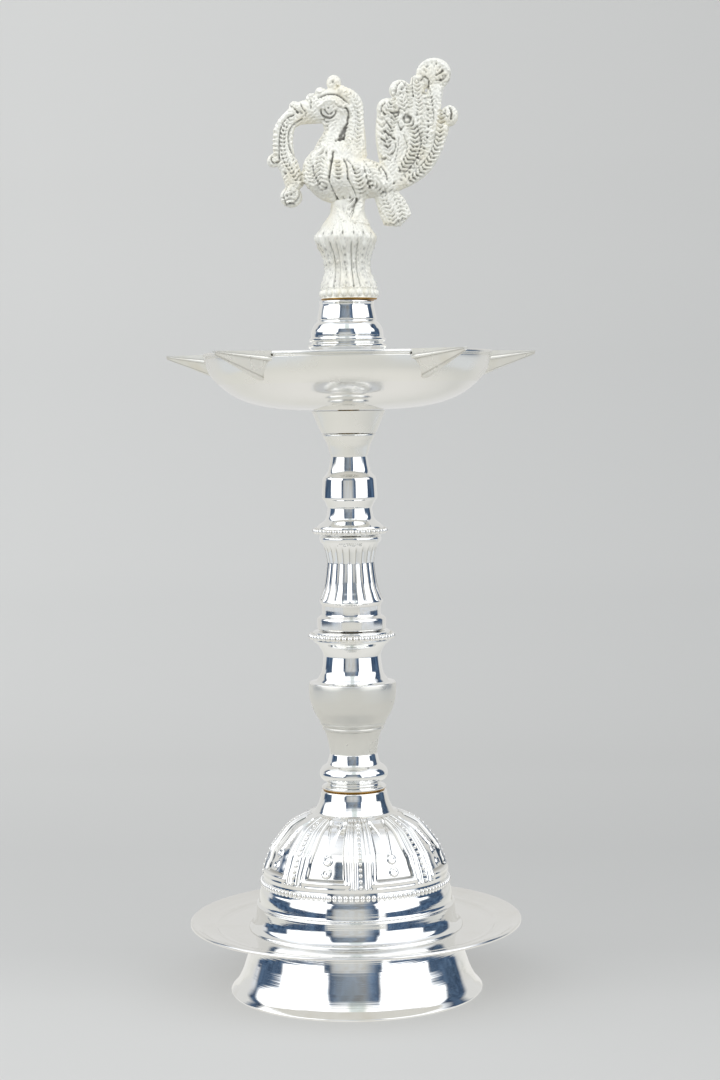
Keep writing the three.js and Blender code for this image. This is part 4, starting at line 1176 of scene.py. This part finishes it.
TOP_WALLS = [
    (-180, 0.95, "FFFFFF"), (-110, 1.0, "FFFFFF"), (-95, 1.35, "FFFFFF"), (-12, 1.35, "FFFFFF"),
    (-7, 0.82, "F4FAF2"), (7, 0.82, "F4FAF2"), (12, 1.35, "FFFFFF"), (90, 1.3, "FFFFFF"),
    (110, 0.95, "FFFFFF"), (180, 0.9, "FFFFFF"),
]
# Where one table gives way to the next, as the rise of the line of sight. A dark strip lies at the horizon.
HIGH_FROM, TOP_FROM, OVERHEAD_FROM = (0.17, 0.27), (0.58, 0.68), (0.85, 0.95)
UNDER_FROM, FLOOR_FROM = (-0.07, -0.085), (-0.116, -0.13)
STRIP_FROM, STRIP_TO = (-0.085, -0.07), (0.035, 0.012)
OVERHEAD, FLOOR, STRIP = (0.36, 0.36, 0.36, 1), (0.37, 0.37, 0.362, 1), (0.01, 0.02, 0.04, 1)
# How far out at the lamp's sides the silver still sees the paper, in metres.
PAPER_SEEN_TO = 0.385

# The paper's own painted light, left and right of the lamp, and the painted light the silver sees of it.
GLOW_LEFT, GLOW_RIGHT = 0.402, 0.312
PAPER_LEFT, PAPER_RIGHT = [0.78, 0.78, 0.745, 1], [0.64, 0.65, 0.64, 1]
PAPER_AT_FOOT, PAPER_BEHIND = [0.86, 0.855, 0.83, 1], [0.76, 0.76, 0.75, 1]
# Painted shade on the paper along its sweep: how much darker it is, in metres of depth and height together
# from the lamp.
PAPER_SWEEP_SHADE = [
    (-0.12, 0.043), (-0.016, 0.047), (0.05, 0.099), (0.127, 0.113), (0.22, 0.123), (0.4, 0.094),
    (0.47, 0.095), (0.73, 0.105), (0.774, 0.093), (0.9, 0.084), (1.0, 0.073), (1.09, 0.04),
    (1.166, 0.018), (1.24, 0.02),
]


def walls(tree, round_share, table):
    """The tent's walls as a ramp. 0 and 1 lie behind the lamp, 0.5 lies towards the camera."""
    return ramp(tree, round_share, [(degrees / 360 + 0.5, [c * level / BRIGHTEST for c in linear(code)[:3]])
                                    for degrees, level, code in table])


def share_round(tree, x, y):
    """The direction round the lamp as a share of a full turn."""
    turned_way = math_node(tree, "ARCTAN2", x, math_node(tree, "MULTIPLY", y, -1.0))
    return math_node(tree, "MULTIPLY_ADD", turned_way, 1 / FULL, 0.5 - CAMERA_TURN / FULL)


def rise(tree, value, start, end):
    """0 up to the start, 1 from the end on."""
    return add_node(tree, "ShaderNodeMapRange", {}, Value=value, From_Min=start, From_Max=end).outputs[0]


def beside(tree, round_share):
    """1 to the left and the right of the lamp, 0 in front of it and behind it."""
    sideways = math_node(tree, "ABSOLUTE", math_node(tree, "SUBTRACT", round_share, 0.5))
    return math_node(tree, "SUBTRACT", rise(tree, sideways, 0.085, 0.1), rise(tree, sideways, 0.34, 0.36))


def haze(tree, way, scale):
    """The uneven blue glow in the dark parts of the room."""
    cloth = add_node(tree, "ShaderNodeMapping", {}, Vector=way, Scale=scale).outputs[0]
    folds = add_node(tree, "ShaderNodeTexNoise", {}, Vector=cloth, Scale=1.0, Detail=3.0,
                     Roughness=0.7).outputs[0]
    return blend(tree, rise(tree, folds, 0.35, 0.7), [0.008, 0.016, 0.035, 1], [0.1, 0.16, 0.25, 1])


def added(tree, first, second):
    return add_node(tree, "ShaderNodeMix", {"data_type": "RGBA", "blend_type": "ADD"}, i0=1.0, i6=first,
                    i7=second).outputs[2]


def paper_material():
    """Pale matt paper. Its own painted light and painted shade keep the level, and its matt part keeps the
    lamp's shadow.

    In the silver it ends where the tent's side walls begin."""
    material, tree = new_material("pale_paper_sweep")
    place = add_node(tree, "ShaderNodeTexCoord").outputs["Object"]
    centred = add_node(tree, "ShaderNodeMapping", {}, Vector=place, Location=(-AXIS.x, -AXIS.y, 0)).outputs[0]
    x, y, z = add_node(tree, "ShaderNodeSeparateXYZ", {}, Vector=centred).outputs
    seen = add_node(tree, "ShaderNodeLightPath").outputs
    by_eye = math_node(tree, "MAXIMUM", seen["Is Camera Ray"], seen["Is Transmission Ray"])
    level = add_node(tree, "ShaderNodeMapRange", {}, Value=x, From_Min=-0.25, From_Max=0.25, To_Min=GLOW_LEFT,
                     To_Max=GLOW_RIGHT).outputs[0]
    swept = add_node(tree, "ShaderNodeMapRange", {}, Value=math_node(tree, "ADD", y, z), From_Min=-0.2,
                     From_Max=1.4).outputs[0]
    # Painted shade darkens the paper along its sweep.
    sweep_shade = ramp(tree, swept, [((swept_to + 0.2) / 1.6, [drop] * 3) for swept_to, drop in PAPER_SWEEP_SHADE])
    level = math_node(tree, "SUBTRACT", level, sweep_shade)
    glow = add_node(tree, "ShaderNodeEmission", {}, Color=linear("FFFFFD"),
                    Strength=math_node(tree, "MULTIPLY", level, by_eye)).outputs[0]

    flat = add_node(tree, "ShaderNodeCombineXYZ", {}, X=x, Y=y).outputs[0]
    away = add_node(tree, "ShaderNodeVectorMath", {"operation": "LENGTH"}, i0=flat).outputs["Value"]
    rightwards = math_node(tree, "MULTIPLY", rise(tree, x, -0.1, 0.45), rise(tree, away, 0.7, 0.4))
    # The painted light that the silver sees: lighter on the left, lightest at the lamp's foot, with its own
    # level behind it.
    mirrored_light = blend(tree, rightwards, PAPER_LEFT, PAPER_RIGHT)
    mirrored_light = blend(tree, rise(tree, away, 0.3, 0.1), mirrored_light, PAPER_AT_FOOT)
    mirrored_light = blend(tree, rise(tree, y, 0.3, 0.6), mirrored_light, PAPER_BEHIND)
    mirrored = add_node(tree, "ShaderNodeEmission", {}, Color=mirrored_light, Strength=seen["Is Glossy Ray"]).outputs[0]
    not_mirrored = math_node(tree, "SUBTRACT", 1.0, seen["Is Glossy Ray"])
    matt = add_node(tree, "ShaderNodeBsdfDiffuse", {},
                    Color=blend(tree, not_mirrored, [0, 0, 0, 1], linear("A0A09E"))).outputs[0]
    paper = add_node(tree, "ShaderNodeAddShader", {}, i0=glow, i1=mirrored).outputs[0]
    paper = add_node(tree, "ShaderNodeAddShader", {}, i0=paper, i1=matt).outputs[0]

    gap = math_node(tree, "MULTIPLY", beside(tree, share_round(tree, x, y)),
                    rise(tree, away, PAPER_SEEN_TO, PAPER_SEEN_TO + 0.015))
    gap = math_node(tree, "MULTIPLY", gap, seen["Is Glossy Ray"])
    clear = add_node(tree, "ShaderNodeBsdfTransparent").outputs[0]
    paper = add_node(tree, "ShaderNodeMixShader", {}, i0=gap, i1=paper, i2=clear).outputs[0]
    add_node(tree, "ShaderNodeOutputMaterial", {}, Surface=paper)
    return material


# The paper lies flat under the lamp, bends up behind it and stands 1.6 m high, in metres.
SWEEP_HALF_WIDTH, BEND_FROM, BEND_RADIUS = 1.6, 0.45, 0.35
sweep_line = [[-1.6, 0.0], [0.0, 0.0], [0.3, 0.0]]
sweep_line += [[BEND_FROM + BEND_RADIUS * math.sin(t), BEND_RADIUS - BEND_RADIUS * math.cos(t)]
               for t in np.linspace(0, math.pi / 2, 24)]
sweep_line += [[0.8, 0.8], [0.8, 1.6]]
strips = np.linspace(-SWEEP_HALF_WIDTH, SWEEP_HALF_WIDTH, 5)
rows = len(sweep_line)
sweep_faces = [[i * rows + j, (i + 1) * rows + j, (i + 1) * rows + j + 1, i * rows + j + 1]
               for i in range(len(strips) - 1) for j in range(rows - 1)]
sweep_mesh = bpy.data.meshes.new("paper_sweep")
sweep_mesh.from_pydata([[x, y, z] for x in strips for y, z in sweep_line], [], sweep_faces)
sweep_mesh.shade_smooth()
sweep_mesh.materials.append(paper_material())
linked("paper_sweep", sweep_mesh)

world = bpy.data.worlds.new("light_tent")
bpy.context.scene.world = world
world.use_nodes = True
tree = world.node_tree
tree.nodes.clear()
way = add_node(tree, "ShaderNodeTexCoord").outputs["Object"]
x, y, z = add_node(tree, "ShaderNodeSeparateXYZ", {}, Vector=way).outputs
round_share = share_round(tree, x, y)
low, high, under, top = [walls(tree, round_share, table)
                         for table in (LOW_WALLS, HIGH_WALLS, UNDER_WALLS, TOP_WALLS)]
room = blend(tree, rise(tree, z, *HIGH_FROM), low, high)
room = blend(tree, rise(tree, z, *UNDER_FROM), room, under)
room = blend(tree, rise(tree, z, *FLOOR_FROM), room, FLOOR)
strip = math_node(tree, "MULTIPLY", rise(tree, z, *STRIP_FROM), rise(tree, z, *STRIP_TO))
room = blend(tree, math_node(tree, "MULTIPLY", beside(tree, round_share), strip), room, STRIP)
room = blend(tree, rise(tree, z, *TOP_FROM), room, top)
room = blend(tree, rise(tree, z, *OVERHEAD_FROM), room, OVERHEAD)
bright = add_node(tree, "ShaderNodeMix", {"data_type": "RGBA", "blend_type": "MULTIPLY"}, i0=1.0, i6=room,
                  i7=(BRIGHTEST, BRIGHTEST, BRIGHTEST, 1)).outputs[2]
hazy = added(tree, bright, haze(tree, way, (7, 7, 16)))
tent = add_node(tree, "ShaderNodeBackground", {}, Color=hazy).outputs[0]
plain = add_node(tree, "ShaderNodeBackground", {}, Color=linear("D1D1D1"), Strength=1.0).outputs[0]
by_camera = add_node(tree, "ShaderNodeLightPath").outputs["Is Camera Ray"]
both = add_node(tree, "ShaderNodeMixShader", {}, i0=by_camera, i1=tent, i2=plain).outputs[0]
add_node(tree, "ShaderNodeOutputWorld", {}, Surface=both)

# A broad soft lamp above the camera's left lights the matt casting. It isn't mirrored in the silver.
fill = bpy.data.lights.new("soft_front_lamp", "AREA")
fill.shape, fill.size, fill.energy = "DISK", 0.7, 1.6
lamp = linked("soft_front_lamp", fill)
lamp.location = AXIS + Vector((-0.27, -1.03, 1.0))
lamp.rotation_euler = (AXIS + Vector((0, 0, 0.2)) - lamp.location).to_track_quat("-Z", "Y").to_euler()
lamp.visible_glossy = False
lamp.visible_camera = False

bpy.context.scene.view_settings.view_transform = "Standard"


# The camera, in front of the lamp and a little to its right, looking slightly down. Lengths in metres.
EYE_AWAY, EYE_HEIGHT = 0.7202, 0.1961
EYE_DOWN, EYE_ASIDE, EYE_ROLL = math.radians(3.745), math.radians(0.2526), math.radians(0.854)
place = AXIS + Vector((EYE_AWAY * math.sin(CAMERA_TURN), -EYE_AWAY * math.cos(CAMERA_TURN), EYE_HEIGHT))
heading = math.pi / 2 + CAMERA_TURN - EYE_ASIDE
ahead = Vector((math.cos(heading) * math.cos(EYE_DOWN), math.sin(heading) * math.cos(EYE_DOWN),
                -math.sin(EYE_DOWN)))
right = ahead.cross(Vector((0, 0, 1))).normalized()
up = right.cross(ahead)
right, up = (right * math.cos(EYE_ROLL) - up * math.sin(EYE_ROLL),
             up * math.cos(EYE_ROLL) + right * math.sin(EYE_ROLL))
camera_data = bpy.data.cameras.new("camera")
camera_data.sensor_width = 36
camera_data.lens = 73.333
camera = linked("camera", camera_data)
camera.matrix_world = Matrix.Translation(place) @ Matrix((right, up, -ahead)).transposed().to_4x4()
bpy.context.scene.camera = camera
